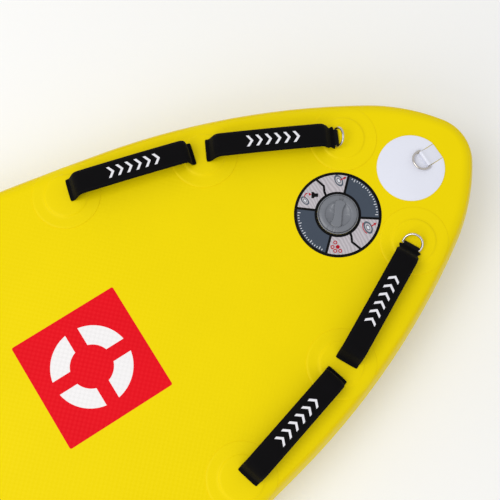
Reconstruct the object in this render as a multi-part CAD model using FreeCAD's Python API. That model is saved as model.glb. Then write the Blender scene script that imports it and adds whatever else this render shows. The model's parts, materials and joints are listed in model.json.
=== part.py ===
"""Inflatable lifeguard rescue board, nose towards +X, port towards +Y, deck up.

Millimetres. The origin is under the middle of the board, on the flat of the hull.
A station is a distance back from the nose tip, measured along the centre line.
"""

import FreeCAD, Part
import math
import os

V = FreeCAD.Vector

# The inflated board
BOARD_LENGTH = 3200.0
BOARD_WIDTH = 808.0
BOARD_THICKNESS = 120.0
SKIN = 1.6
DECK_COAT = 0.8
NOSE_X = BOARD_LENGTH / 2

# Outline: tangent arcs as (radius, degrees turned), from each tip outwards.
# The last arc of each end turns what is left of a right angle and its radius
# is worked out so that the arc ends at the board's half width.
NOSE_ARCS = ((83.0, 33.7), (324.0, 23.8), (1224.0, 21.1))
TAIL_ARCS = ((700.0, 14.0), (110.0, 48.0), (900.0, 14.0))

# Rocker: the nose and the tail each bend up along one large arc
NOSE_ROCKER_RUN = 1100.0
NOSE_ROCKER_RISE = 60.0
TAIL_ROCKER_RUN = 900.0
TAIL_ROCKER_RISE = 50.0

# Rail: a soft shoulder, then the bulging side wall
RAIL_REACH = 30.0
SHOULDER_TURN = 65.0
RAIL_TAPE_THICKNESS = 0.7
RAIL_TAPE_ON_SHOULDER = 25.0
RAIL_TAPE_ON_WALL = 6.0

# The deck's base cloth lies in panels across the board, each nearly flat
NOSE_PANELS = 4
TAIL_PANELS = 4

# Flat pieces on the bent deck stand this much above its tangent
DECK_SEAT = 0.06
TAB_SEAT = 0.15

# Drop threads, shown as bundles on a wide grid
THREAD_BUNDLE = 3.0
THREAD_PITCH_X = 150.0
THREAD_PITCH_Y = 105.0

# Handles: each group's three patches per side, as (station, inset from the outline)
HANDLE_GROUPS = {
    "nose": ((184.0, 71.0), (390.0, 66.5), (613.0, 60.5)),
    "middle": ((1230.0, 60.5), (1450.0, 60.5), (1670.0, 60.5)),
    "tail": ((2240.0, 60.5), (2460.0, 60.5), (2680.0, 60.5)),
}
PATCH_RADIUS = 55.0
PATCH_FILM = 0.9
ANCHOR_RADIUS = 33.0
ANCHOR_THICKNESS = 0.8
WEB_WIDTH = 26.5
WEB_THICKNESS = 1.2
SLEEVE_WIDTH = 38.5
SLEEVE_THICKNESS = 6.4
SLEEVE_END_THICKNESS = 4.0
SLEEVE_HEIGHT = 30.0
SLEEVE_RISE = 52.0
SLEEVE_START_REAR = 11.0
SLEEVE_START_FRONT = 17.0

# D-rings: bent from round wire, with one straight bar
RING_WIRE = 1.9
RING_BOW = 15.6
RING_DEPTH = 21.0
RING_CORNER = 2.2
RING_RUNNING_CLEARANCE = 0.08
RING_REST_ANGLE = {"port": 62.0, "starboard": 30.0, "tow": 12.0, "tail": 12.0}

# Tow patch at the nose and the same patch at the tail
TOW_STATION = 120.0
TAIL_PATCH_STATION = 3060.0
TOW_DISC_RADIUS = 55.0
TOW_DISC_THICKNESS = 1.4
TOW_BAR_AHEAD = 27.5
TOW_BAR_HEIGHT = 4.0
TOW_STRAP_THICKNESS = 1.5

# Inflation valve
VALVE_STATION = 262.0
LABEL_RADIUS = 70.5
LABEL_THICKNESS = 0.4
FLANGE_RADIUS = 33.0
FLANGE_HEIGHT = 3.6
WELL_FLOOR = 0.6
TETHER_THICKNESS = 1.0
BARREL_RADIUS = 24.0
BARREL_BORE = 20.5
BARREL_DEPTH = 38.0
SEAT_BORE = 14.0
SEAT_THICKNESS = 3.0
STEM_RADIUS = 2.5
POPPET_RADIUS = 17.5
CAP_RADIUS = 30.6
CAP_SKIRT_RADIUS = 19.0
CAP_GRIP_TURN = 41.0

# Deck pad and centre handle
PAD_THICKNESS = 5.0
PAD_FRONT_X = 520.0
PAD_BACK_X = -1330.0
PAD_HALF_WIDTH = 232.0
PAD_WINDOW = (372.0, 136.0)
PAD_JOINTS = (215.0, -215.0, -700.0, -1015.0)
PAD_GAP = 3.0
CARRY_SPAN = 236.0

# Fin base on the hull near the tail
FIN_BASE_X = -1296.0
FIN_BASE_SIZE = (250.0, 62.0, 12.0)
FIN_SLOT = (190.0, 9.4, 9.0)
FIN_PATCH_SIZE = (310.0, 120.0, 1.2)

HALF_PI = math.pi / 2


def spread(start, end, count):
    return [start + (end - start) * k / (count - 1) for k in range(count)]


def last_radius(arcs):
    """Radius of the arc that ends the given arcs at the half width."""
    turned = 0.0
    reached = 0.0
    for radius, degrees in arcs:
        before = math.sin(turned)
        turned += math.radians(degrees)
        reached += radius * (math.sin(turned) - before)
    return (BOARD_WIDTH / 2 - reached) / (1 - math.sin(turned)), turned


def end_arcs(arcs):
    """All arcs of one end as (centre back from the tip, centre out, radius, from, to)."""
    radius, turned = last_radius(arcs)
    whole = list(arcs) + [(radius, math.degrees(HALF_PI - turned))]
    found = []
    angle = 0.0
    back = whole[0][0]
    out = 0.0
    previous = whole[0][0]
    for radius, degrees in whole:
        back += (radius - previous) * math.cos(angle)
        out -= (radius - previous) * math.sin(angle)
        end = angle + math.radians(degrees)
        found.append((back, out, radius, angle, end))
        angle = end
        previous = radius
    return found


NOSE_OUTLINE = end_arcs(NOSE_ARCS)
TAIL_OUTLINE = end_arcs(TAIL_ARCS)


ARC_STEPS = 5
SIDE_STEPS = 4


def arc_frames(arcs, inset):
    """Places along one end's arcs, as (back from the tip, out, outward angle)."""
    found = []
    for back, out, radius, start, end in arcs:
        reach = radius - inset
        for step in range(ARC_STEPS):
            angle = start + (end - start) * step / ARC_STEPS
            place = (back - reach * math.cos(angle), out + reach * math.sin(angle))
            found.append((*place, angle))
    return found


def rail_frames(inset):
    """Places down the port side, nose to tail, as (x, y, outward angle)."""
    frames = [(NOSE_X - back, out, turn) for back, out, turn in arc_frames(NOSE_OUTLINE, inset)]
    side = BOARD_WIDTH / 2 - inset
    front = NOSE_X - NOSE_OUTLINE[-1][0]
    rear = TAIL_OUTLINE[-1][0] - NOSE_X
    for x in spread(front, rear, SIDE_STEPS + 1):
        frames.append((x, side, HALF_PI))
    tail = arc_frames(TAIL_OUTLINE, inset)
    frames += [(back - NOSE_X, out, math.pi - turn) for back, out, turn in reversed(tail)]
    return frames


def rail_point(station, inset):
    """The point at a station on the port outline drawn in by inset."""
    for arcs, sign in ((NOSE_OUTLINE, 1), (TAIL_OUTLINE, -1)):
        wanted = station if sign > 0 else BOARD_LENGTH - station
        for back, out, radius, start, end in arcs:
            reach = radius - inset
            if back - reach * math.cos(start) <= wanted <= back - reach * math.cos(end):
                angle = math.acos((back - wanted) / reach)
                return NOSE_X - station, out + reach * math.sin(angle)
    return NOSE_X - station, BOARD_WIDTH / 2 - inset


def rocker_radius(run, rise):
    return (run * run + rise * rise) / (2 * rise)


NOSE_ROCKER = rocker_radius(NOSE_ROCKER_RUN, NOSE_ROCKER_RISE)
TAIL_ROCKER = rocker_radius(TAIL_ROCKER_RUN, TAIL_ROCKER_RISE)
FLAT_FRONT = NOSE_X - NOSE_ROCKER_RUN
FLAT_BACK = TAIL_ROCKER_RUN - NOSE_X


def rocker(x):
    """Height of the hull over the floor at x."""
    if x > FLAT_FRONT:
        return NOSE_ROCKER - math.sqrt(NOSE_ROCKER**2 - (x - FLAT_FRONT) ** 2)
    if x < FLAT_BACK:
        return TAIL_ROCKER - math.sqrt(TAIL_ROCKER**2 - (x - FLAT_BACK) ** 2)
    return 0.0


def deck(x):
    return rocker(x) + BOARD_THICKNESS


def deck_slope(x):
    """Angle by which the deck rises towards +X, in radians."""
    if x > FLAT_FRONT:
        return math.asin((x - FLAT_FRONT) / NOSE_ROCKER)
    if x < FLAT_BACK:
        return math.asin((x - FLAT_BACK) / TAIL_ROCKER)
    return 0.0


def outline_face(inset):
    """The whole outline as a flat face of short straight sides."""
    port = [V(x, y, 0) for x, y, _ in rail_frames(inset)]
    starboard = [V(p.x, -p.y, 0) for p in reversed(port[1:-1])]
    return Part.Face(Part.makePolygon(port + starboard + port[:1]))


ROCKER_OVERRUN = 40.0
SIDE_OVERRUN = 60.0


def rocker_edges(height):
    """The rocker line at a height, as an arc, a straight and an arc, tail to nose."""
    tail_x = -NOSE_X - ROCKER_OVERRUN
    nose_x = NOSE_X + ROCKER_OVERRUN

    def arc(x0, x1):
        ends = [V(x, 0, rocker(x) + height) for x in (x0, (x0 + x1) / 2, x1)]
        return Part.Arc(*ends).toShape()

    flat = Part.LineSegment(V(FLAT_BACK, 0, height), V(FLAT_FRONT, 0, height))
    return [arc(tail_x, FLAT_BACK), flat.toShape(), arc(FLAT_FRONT, nose_x)]


def rocker_slab(low, high):
    """Everything between two heights over the rocker line, wider than the board."""
    bottom = rocker_edges(low)
    top = rocker_edges(high)
    tail = Part.makeLine(bottom[0].Vertexes[0].Point, top[0].Vertexes[0].Point)
    nose = Part.makeLine(bottom[-1].Vertexes[-1].Point, top[-1].Vertexes[-1].Point)
    face = Part.Face(Part.Wire(Part.__sortEdges__(bottom + [nose] + top + [tail])))
    half = BOARD_WIDTH / 2 + SIDE_OVERRUN
    face.translate(V(0, -half, 0))
    return face.extrude(V(0, 2 * half, 0))


def layer(face, low, high):
    """A flat outline laid on the bent board, between two heights over the hull line."""
    prism = face.extrude(V(0, 0, 3 * BOARD_THICKNESS))
    prism.translate(V(0, 0, -BOARD_THICKNESS))
    return prism.common(rocker_slab(low, high))


def on_deck_layer(face, low, high):
    return layer(face, BOARD_THICKNESS + low, BOARD_THICKNESS + high)


def disc_face(x, y, radius):
    circle = Part.Circle(V(x, y, 0), V(0, 0, 1), radius)
    return Part.Face(Part.Wire(circle.toShape()))


def rounded_rectangle(x, y, length, width, radius):
    """A flat rectangle with round corners, centred at x, y."""
    box = Part.makeBox(length, width, 1, V(x - length / 2, y - width / 2, 0))
    upright = [e for e in box.Edges if abs(e.tangentAt(e.FirstParameter).z) > 0.9]
    box = box.makeFillet(radius, upright)
    return [f for f in box.Faces if abs(f.CenterOfMass.z) < 1e-6][0]


def polyline_face(points):
    """A face in the XZ plane with straight sides."""
    corners = [V(x, 0, z) for x, z in points]
    return Part.Face(Part.makePolygon(corners + corners[:1]))


def revolve(points):
    """A solid turned about Z from (radius, height) points."""
    return polyline_face(points).revolve(V(0, 0, 0), V(0, 0, 1), 360)


def ring(outer, inner, low, high):
    return revolve([(inner, low), (outer, low), (outer, high), (inner, high)])


def placed(shape, x, y, z, turn=0.0, slope=0.0, side=1):
    """Turn about Z by degrees, tilt with the deck by radians, then move into place."""
    copy = shape.copy()
    if side < 0:
        copy = copy.mirror(V(0, 0, 0), V(0, 1, 0))
    copy.rotate(V(0, 0, 0), V(0, 0, 1), turn)
    copy.rotate(V(0, 0, 0), V(0, 1, 0), -math.degrees(slope))
    copy.translate(V(x, y, z))
    return copy


def on_deck(shape, x, y=0.0, turn=0.0):
    return placed(shape, x, y, deck(x), turn, deck_slope(x))


# The rail's section, outwards from the line RAIL_REACH inside the outline
SHOULDER = math.radians(SHOULDER_TURN)
SHOULDER_SINE = math.sin(SHOULDER)
SHOULDER_COSINE = math.cos(SHOULDER)
# The two arcs together reach out by RAIL_REACH and down by half the thickness
WALL_RADIUS = (BOARD_THICKNESS / 2 * SHOULDER_SINE - RAIL_REACH * (1 - SHOULDER_COSINE)) / (
    SHOULDER_COSINE * SHOULDER_SINE - (1 - SHOULDER_SINE) * (1 - SHOULDER_COSINE)
)
SHOULDER_RADIUS = (RAIL_REACH - WALL_RADIUS * (1 - SHOULDER_SINE)) / SHOULDER_SINE
TAPE_START = SHOULDER - math.radians(RAIL_TAPE_ON_SHOULDER)


def shoulder_at(angle, grow=0.0):
    """A point on the shoulder, angle from straight up, grown outwards."""
    reach = SHOULDER_RADIUS + grow
    return reach * math.sin(angle), reach * math.cos(angle) - SHOULDER_RADIUS


def low_shoulder_at(angle, grow=0.0):
    """A point on the hull side's shoulder, angle from straight up, grown outwards."""
    out, drop = shoulder_at(math.pi - angle, grow)
    return out, -BOARD_THICKNESS - drop


def wall_at(angle, grow=0.0):
    """A point on the side wall, angle from straight up, grown outwards."""
    shift = SHOULDER_RADIUS - WALL_RADIUS
    centre = (shift * math.sin(SHOULDER), shift * math.cos(SHOULDER) - SHOULDER_RADIUS)
    reach = WALL_RADIUS + grow
    return centre[0] + reach * math.sin(angle), centre[1] + reach * math.cos(angle)


def rail_arc(curve, start, end, grow=0.0):
    """A section arc as an edge at the nose tip."""
    middle = (start + end) / 2
    points = [curve(angle, grow) for angle in (start, middle, end)]
    return Part.Arc(*[V(u, 0, w) for u, w in points]).toShape()


def rail_section(pieces, inner_grow, outer_grow):
    """A closed band that follows section arcs, given as (curve, start, end)."""
    edges = []
    for grow in (inner_grow, outer_grow):
        edges += [rail_arc(curve, start, end, grow) for curve, start, end in pieces]
    first_curve, first, _ = pieces[0]
    last_curve, _, last = pieces[-1]
    for curve, angle in ((first_curve, first), (last_curve, last)):
        ends = [V(u, 0, w) for u, w in (curve(angle, inner_grow), curve(angle, outer_grow))]
        edges.append(Part.makeLine(*ends))
    return Part.Wire(Part.__sortEdges__(edges))


def port_sweep(section):
    """Carry a section down the port side of the board along the deck's shoulder line."""
    sections = []
    for x, y, turn in rail_frames(RAIL_REACH):
        copy = section.copy()
        copy.rotate(V(0, 0, 0), V(0, 0, 1), math.degrees(turn))
        copy.translate(V(x, y, deck(x)))
        sections.append(copy)
    return Part.makeLoft(sections, True, True)


def mirrored(shape):
    return shape.mirror(V(0, 0, 0), V(0, 1, 0))


def rail_sweep(section):
    port = port_sweep(section)
    return port.fuse(mirrored(port))


def flipped_section(section):
    """The same section on the hull side."""
    return section.mirror(V(0, 0, -BOARD_THICKNESS / 2), V(0, 0, 1))


def side_wall():
    """The rail's fabric: shoulder, bulging wall and the shoulder on the hull side."""
    low = math.pi - SHOULDER
    pieces = [(shoulder_at, 0.0, SHOULDER), (wall_at, SHOULDER, low), (low_shoulder_at, low, math.pi)]
    return rail_sweep(rail_section(pieces, -SKIN, 0.0))


def rail_tapes():
    """Tapes over the two seams of the rail."""
    end = SHOULDER + math.radians(RAIL_TAPE_ON_WALL)
    band = [(shoulder_at, TAPE_START, SHOULDER), (wall_at, SHOULDER, end)]
    section = rail_section(band, 0.0, RAIL_TAPE_THICKNESS)
    return {
        "deck_rail_tape": rail_sweep(section),
        "hull_rail_tape": rail_sweep(flipped_section(section)),
    }


def drop_threads(keep_clear):
    """Bundles of drop threads between the two skins."""
    edge = RAIL_REACH + 2 * THREAD_BUNDLE
    posts = []
    columns = int(BOARD_LENGTH / 2 / THREAD_PITCH_X)
    rows = int(BOARD_WIDTH / 2 / THREAD_PITCH_Y)
    for column in range(-columns, columns + 1):
        x = column * THREAD_PITCH_X
        _, half = rail_point(NOSE_X - x, edge)
        for row in range(-rows, rows + 1):
            y = row * THREAD_PITCH_Y
            if abs(y) > half or keep_clear(x, y):
                continue
            corner = V(x - THREAD_BUNDLE / 2, y - THREAD_BUNDLE / 2, -BOARD_THICKNESS)
            posts.append(Part.makeBox(THREAD_BUNDLE, THREAD_BUNDLE, 4 * BOARD_THICKNESS, corner))
    inside = rocker_slab(SKIN, BOARD_THICKNESS - SKIN)
    return Part.makeCompound(posts).common(inside)


def smooth(t):
    t = max(0.0, min(1.0, t))
    return t * t * (3 - 2 * t)


WEB_TAB_HEIGHT = ANCHOR_THICKNESS + TAB_SEAT + WEB_THICKNESS / 2
DISC_TOP = ANCHOR_THICKNESS + WEB_THICKNESS + PATCH_FILM
SLEEVE_END_HEIGHT = DISC_TOP + 0.2 + SLEEVE_END_THICKNESS / 2
RING_BAR_STATION = 12.0
RING_BAR_HEIGHT = DISC_TOP + 0.2 + RING_WIRE
OVER_RING_HEIGHT = RING_BAR_HEIGHT + RING_WIRE + 0.3 + WEB_THICKNESS / 2
WEB_TAB_LENGTH = 14.0
MEETING_GAP = 1.5


class HandleEnd:
    """One end of a handle, measured from its patch centre towards the handle."""

    def __init__(self, start, holds_ring):
        self.start = start
        self.height = OVER_RING_HEIGHT if holds_ring else SLEEVE_END_HEIGHT
        self.web_from = 0.5 if holds_ring else 4.0
        self.web_to = RING_BAR_STATION - 4.5 if holds_ring else start

    def middle(self, d):
        rise = SLEEVE_HEIGHT - self.height
        return self.height + rise * smooth((d - self.start) / SLEEVE_RISE)

    def web(self, d):
        if d >= self.start:
            return self.middle(d)
        t = (d - self.web_from) / (self.web_to - self.web_from)
        return WEB_TAB_HEIGHT + (self.height - WEB_TAB_HEIGHT) * smooth(t)

    def sleeve_half(self, d):
        grown = smooth((d - self.start) / (0.6 * SLEEVE_RISE))
        return (SLEEVE_END_THICKNESS + (SLEEVE_THICKNESS - SLEEVE_END_THICKNESS) * grown) / 2


def band(stations, middle, half, width):
    """A strip whose side view lies half above and half below a middle line."""
    upper = []
    lower = []
    for x in stations:
        step = 0.05
        tilt = math.atan2(middle(x + step) - middle(x - step), 2 * step)
        reach = half(x)
        upper.append(V(x - reach * math.sin(tilt), 0, middle(x) + reach * math.cos(tilt)))
        lower.append(V(x + reach * math.sin(tilt), 0, middle(x) - reach * math.cos(tilt)))
    edges = []
    for line in (upper, lower):
        curve = Part.BSplineCurve()
        curve.interpolate(Points=line)
        edges.append(curve.toShape())
    edges.append(Part.makeLine(upper[0], lower[0]))
    edges.append(Part.makeLine(upper[-1], lower[-1]))
    face = Part.Face(Part.Wire(Part.__sortEdges__(edges)))
    face.translate(V(0, -width / 2, 0))
    return face.extrude(V(0, width, 0))


def handle(span, front_ring, rear_tab=WEB_TAB_LENGTH, front_tab=WEB_TAB_LENGTH):
    """A padded sleeve and its webbing, along X between patch centres a span apart."""
    half_span = span / 2
    rear = HandleEnd(SLEEVE_START_REAR, False)
    front = HandleEnd(SLEEVE_START_FRONT, front_ring)

    def end_of(x):
        return (rear, x + half_span) if x < 0 else (front, half_span - x)

    def web(x):
        end, d = end_of(x)
        return end.web(d)

    def sleeve_half(x):
        end, d = end_of(x)
        return end.sleeve_half(d)

    low = -half_span - rear_tab
    high = half_span + front_tab
    climb = spread(-half_span + 3, -half_span + 14, 9)
    arch = spread(-half_span + 18, half_span - 22, 26)
    fall = spread(half_span - 18, half_span - 2, 12)
    rear_end = spread(low, max(low, -half_span - 4), 3) if rear_tab > 0 else [low]
    front_end = spread(min(high, half_span + 1), high, 3) if front_tab > 0 else [high]
    stations = rear_end + climb + arch + fall + front_end
    webbing = band(stations, web, lambda x: WEB_THICKNESS / 2, WEB_WIDTH)
    rear_x = SLEEVE_START_REAR - half_span
    front_x = half_span - SLEEVE_START_FRONT
    along = spread(rear_x, front_x, 30)
    sleeve = band(along, web, sleeve_half, SLEEVE_WIDTH).cut(webbing)
    return sleeve, webbing


def deck_frame(start, end):
    """A placement on the deck midway between two points, X towards the second."""
    x = (start[0] + end[0]) / 2
    y = (start[1] + end[1]) / 2
    slope = deck_slope(x)
    up = V(-math.sin(slope), 0, math.cos(slope))
    along = V(end[0], end[1], deck(end[0])) - V(start[0], start[1], deck(start[0]))
    span = along.Length
    along.normalize()
    across = up.cross(along)
    across.normalize()
    up = along.cross(across)
    base = (V(start[0], start[1], deck(start[0])) + V(end[0], end[1], deck(end[0]))) * 0.5
    matrix = FreeCAD.Matrix(
        along.x, across.x, up.x, base.x,
        along.y, across.y, up.y, base.y,
        along.z, across.z, up.z, base.z,
        0, 0, 0, 1,
    )
    return FreeCAD.Placement(matrix), span


def set_down(shape, placement):
    copy = shape.copy()
    copy.Placement = placement.multiply(copy.Placement)
    return copy


DECK_FACE = outline_face(RAIL_REACH)


def patch_anchor(x, y):
    """The stitched disc that carries the webbing's end, under the patch."""
    face = disc_face(x, y, ANCHOR_RADIUS).common(DECK_FACE)
    return on_deck_layer(face, 0, ANCHOR_THICKNESS)


class Film:
    """Film of a given height over the deck that also drapes over the port shoulder."""

    def __init__(self, low, high):
        self.low = low
        self.high = high
        self.drape = port_sweep(rail_section([(shoulder_at, 0.0, TAPE_START)], low, high))

    def disc(self, x, y, radius):
        face = disc_face(x, y, radius)
        flat = on_deck_layer(face.common(DECK_FACE), self.low, self.high)
        rod = face.extrude(V(0, 0, 3 * BOARD_THICKNESS))
        draped = rod.common(self.drape)
        return flat.fuse(draped) if draped.Solids else flat


FLANGE_FILM = Film(0.0, PATCH_FILM)
STEP_FILM = Film(0.0, DISC_TOP)
HOLLOW_FILM = Film(-0.5, DISC_TOP - PATCH_FILM)


def patch_disc(x, y):
    """The round patch, stepped up over the anchor disc that it covers."""
    hollow = ANCHOR_RADIUS + 0.6
    flange = FLANGE_FILM.disc(x, y, PATCH_RADIUS)
    step = STEP_FILM.disc(x, y, hollow + 1.4)
    whole = flange.fuse(step).cut(HOLLOW_FILM.disc(x, y, hollow))
    return whole.removeSplitter()


def d_ring():
    """A D-ring with its bar along Y at the origin and its bow towards -X."""
    bar_half = RING_BOW
    corner = RING_CORNER
    wire = RING_WIRE
    straight = RING_DEPTH - RING_BOW
    bend = corner * math.sin(math.pi / 4)
    edges = [
        Part.LineSegment(V(0, -bar_half + corner, 0), V(0, bar_half - corner, 0)).toShape(),
        Part.Arc(
            V(0, bar_half - corner, 0),
            V(-corner + bend, bar_half - corner + bend, 0),
            V(-corner, bar_half, 0),
        ).toShape(),
        Part.LineSegment(V(-corner, bar_half, 0), V(-straight, bar_half, 0)).toShape(),
        Part.Arc(
            V(-straight, bar_half, 0),
            V(-RING_DEPTH, 0, 0),
            V(-straight, -bar_half, 0),
        ).toShape(),
        Part.LineSegment(V(-straight, -bar_half, 0), V(-corner, -bar_half, 0)).toShape(),
        Part.Arc(
            V(-corner, -bar_half, 0),
            V(-corner + bend, -bar_half + corner - bend, 0),
            V(0, -bar_half + corner, 0),
        ).toShape(),
    ]
    path = Part.Wire(edges)
    circle = Part.Wire(Part.Circle(V(0, 0, 0), V(0, 1, 0), wire).toShape())
    pipe = Part.BRepOffsetAPI.MakePipeShell(path)
    circle.translate(V(0, -bar_half + corner, 0))
    pipe.add(circle)
    pipe.build()
    pipe.makeSolid()
    return Part.Solid(Part.Shell(pipe.shape().Faces))


def handle_groups():
    """Patches, webbing, sleeves and the nose handles' D-rings.

    Two handles share each middle patch, where their straps' tabs almost meet.
    """
    nodes = {}
    ring_shape = d_ring()
    for group, patches in HANDLE_GROUPS.items():
        for side_name, side in (("port", 1), ("starboard", -1)):
            centres = []
            for station, inset in patches:
                x, y = rail_point(station, inset)
                centres.append((x, side * y))
            webs = []
            for place, front, rear in (("front", 0, 1), ("rear", 1, 2)):
                placement, span = deck_frame(centres[rear], centres[front])
                holds_ring = group == "nose" and place == "front"
                tabs = [-MEETING_GAP, WEB_TAB_LENGTH]
                if place == "rear":
                    tabs.reverse()
                sleeve, webbing = handle(span, holds_ring, *tabs)
                webbing = set_down(webbing, placement)
                sleeve = set_down(sleeve, placement)
                nodes[f"{group}_handle_{side_name}_{place}"] = sleeve
                webs.append(webbing)
                if holds_ring:
                    swing = ring_shape.copy()
                    swing.rotate(V(0, 0, 0), V(0, 0, 1), 180)
                    swing.rotate(V(0, 0, 0), V(0, 1, 0), -RING_REST_ANGLE[side_name])
                    swing.translate(V(span / 2 - RING_BAR_STATION, 0, RING_BAR_HEIGHT))
                    nodes[f"handle_ring_{side_name}"] = set_down(swing, placement)
                    axis = placement.Rotation.multVec(V(0, -1, 0))
                    spot = placement.multVec(V(span / 2 - RING_BAR_STATION, 0, RING_BAR_HEIGHT))
                    report(f"handle_ring_{side_name}", spot, axis)
            if side > 0:
                straps = webs
                anchors = [patch_anchor(x, y) for x, y in centres]
                discs = [patch_disc(x, y).cut(straps) for x, y in centres]
        for name, shapes in (
            ("patch_anchors", anchors), ("patch_discs", discs), ("handle_webbing", straps),
        ):
            both = shapes + [mirrored(shape) for shape in shapes]
            nodes[f"{group}_{name}"] = Part.makeCompound(both)
    return nodes


def report(name, spot, axis):
    """Print a joint's place and axis for the record."""
    place = ", ".join(f"{c / 1000:.6f}" for c in spot)
    line = ", ".join(f"{c:.6f}" for c in axis)
    print(f"joint {name}: pos_m [{place}] axis [{line}]")


def tow_strap(reach):
    """A strap folded round the ring's bar, then flat towards +X for a reach."""
    outer = RING_WIRE + RING_RUNNING_CLEARANCE + TOW_STRAP_THICKNESS
    tail = polyline_face([
        (0, DECK_SEAT), (reach, DECK_SEAT), (reach, TOW_STRAP_THICKNESS),
        (3.4 * outer, TOW_STRAP_THICKNESS), (0.5 * outer, TOW_BAR_HEIGHT + 0.86 * outer),
    ])
    half = WEB_WIDTH / 2
    tail.translate(V(0, -half, 0))
    fold = Part.makeCylinder(outer, WEB_WIDTH, V(0, -half, TOW_BAR_HEIGHT), V(0, 1, 0))
    bore = Part.makeCylinder(
        RING_WIRE + RING_RUNNING_CLEARANCE, WEB_WIDTH, V(0, -half, TOW_BAR_HEIGHT), V(0, 1, 0)
    )
    whole = tail.extrude(V(0, WEB_WIDTH, 0)).fuse(fold).cut(bore)
    floor = Part.makeBox(4 * outer, WEB_WIDTH, outer, V(-2 * outer, -half, DECK_SEAT - outer))
    return whole.cut(floor).removeSplitter()


def tow_patch(prefix, station, facing):
    """A round patch with a slot, the strap in the slot and the ring on the strap."""
    x = NOSE_X - station
    turn = 0.0 if facing > 0 else 180.0
    bar_x = x + facing * TOW_BAR_AHEAD
    edge = math.sqrt(TOW_DISC_RADIUS**2 - (WEB_WIDTH / 2) ** 2) - TOW_BAR_AHEAD
    strap = on_deck(tow_strap(edge), bar_x, 0, turn)
    slot_width = WEB_WIDTH + 2.0
    behind = 6.0
    slot = Part.makeBox(2 * TOW_DISC_RADIUS, slot_width, 8, V(-behind, -slot_width / 2, -2))
    disc = on_deck_layer(disc_face(x, 0, TOW_DISC_RADIUS), 0, TOW_DISC_THICKNESS)
    disc = disc.cut(on_deck(slot, bar_x, 0, turn))
    swing = d_ring()
    swing.rotate(V(0, 0, 0), V(0, 1, 0), RING_REST_ANGLE[prefix])
    swing.translate(V(0, 0, TOW_BAR_HEIGHT))
    whole = on_deck(swing, bar_x, 0, turn)
    slope = deck_slope(bar_x)
    up = V(-math.sin(slope), 0, math.cos(slope))
    spot = V(bar_x, 0, deck(bar_x)) + up * TOW_BAR_HEIGHT
    report(f"{prefix}_ring", spot, V(0, facing, 0))
    return {
        f"{prefix}_patch_disc": disc,
        f"{prefix}_strap": strap,
        f"{prefix}_ring": whole,
    }


VALVE_X = NOSE_X - VALVE_STATION


def valve_body():
    """Deck flange, threaded barrel, poppet seat and the spider that guides the stem."""
    lip = FLANGE_RADIUS - 0.9
    well = CAP_RADIUS + 0.5
    seat_top = -BARREL_DEPTH + SEAT_THICKNESS
    profile = [
        (BARREL_BORE, WELL_FLOOR), (well, WELL_FLOOR), (well, FLANGE_HEIGHT - 0.5),
        (well + 0.5, FLANGE_HEIGHT), (lip, FLANGE_HEIGHT), (FLANGE_RADIUS, FLANGE_HEIGHT - 0.9),
        (FLANGE_RADIUS, DECK_SEAT), (BARREL_RADIUS, DECK_SEAT),
        (BARREL_RADIUS, -BARREL_DEPTH), (SEAT_BORE, -BARREL_DEPTH), (SEAT_BORE, seat_top),
        (BARREL_BORE, seat_top + 1.5),
    ]
    body = revolve(profile)
    hub = Part.makeCylinder(5.0, 6.0, V(0, 0, seat_top + 4))
    arms = []
    for k in range(3):
        arm = Part.makeBox(BARREL_BORE + 0.8, 2.4, 4.0, V(0, -1.2, seat_top + 5))
        arm.rotate(V(0, 0, 0), V(0, 0, 1), 120 * k)
        arms.append(arm)
    guide = Part.makeCylinder(STEM_RADIUS + 0.08, 40, V(0, 0, -BARREL_DEPTH - 2))
    return body.fuse([hub] + arms).cut(guide).removeSplitter()


def valve_nut():
    """Inner nut with grip notches; it clamps the skin from inside."""
    nut = ring(37.0, BARREL_RADIUS + 0.05, -14.0, -SKIN - 1.5)
    notches = []
    for k in range(12):
        notch = Part.makeCylinder(3.0, 14, V(39.0, 0, -16))
        notch.rotate(V(0, 0, 0), V(0, 0, 1), 30 * k)
        notches.append(notch)
    return nut.cut(notches)


HUB_TOP = -BARREL_DEPTH + SEAT_THICKNESS + 10.0
BUTTON_HEIGHT = -8.0


def valve_stem():
    """Push button, rod and poppet plate in one moulding."""
    seal_low = -BARREL_DEPTH - 1.6
    profile = [
        (0, seal_low - 3.0), (POPPET_RADIUS - 3, seal_low - 3.0), (POPPET_RADIUS, seal_low - 1.6),
        (POPPET_RADIUS, seal_low), (STEM_RADIUS, seal_low), (STEM_RADIUS, BUTTON_HEIGHT - 2.5),
        (6.5, BUTTON_HEIGHT - 2.5), (6.5, BUTTON_HEIGHT - 0.8), (5.7, BUTTON_HEIGHT),
        (0, BUTTON_HEIGHT),
    ]
    return revolve(profile)


def valve_spring():
    """Return spring between the spider hub and the button."""
    low = HUB_TOP + 0.5
    high = BUTTON_HEIGHT - 3.0
    wire = 0.45
    turns = 5
    helix = Part.makeHelix((high - low) / turns, high - low, 4.2)
    helix.translate(V(0, 0, low))
    around = [math.radians(45 * k) for k in range(8)]
    corners = [V(4.2 + wire * math.cos(a), 0, low + wire * math.sin(a)) for a in around]
    section = Part.makePolygon(corners + corners[:1])
    pipe = Part.BRepOffsetAPI.MakePipeShell(Part.Wire(helix.Edges))
    pipe.setFrenetMode(True)
    pipe.add(section)
    pipe.build()
    pipe.makeSolid()
    return Part.Solid(Part.Shell(pipe.shape().Faces))


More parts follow.
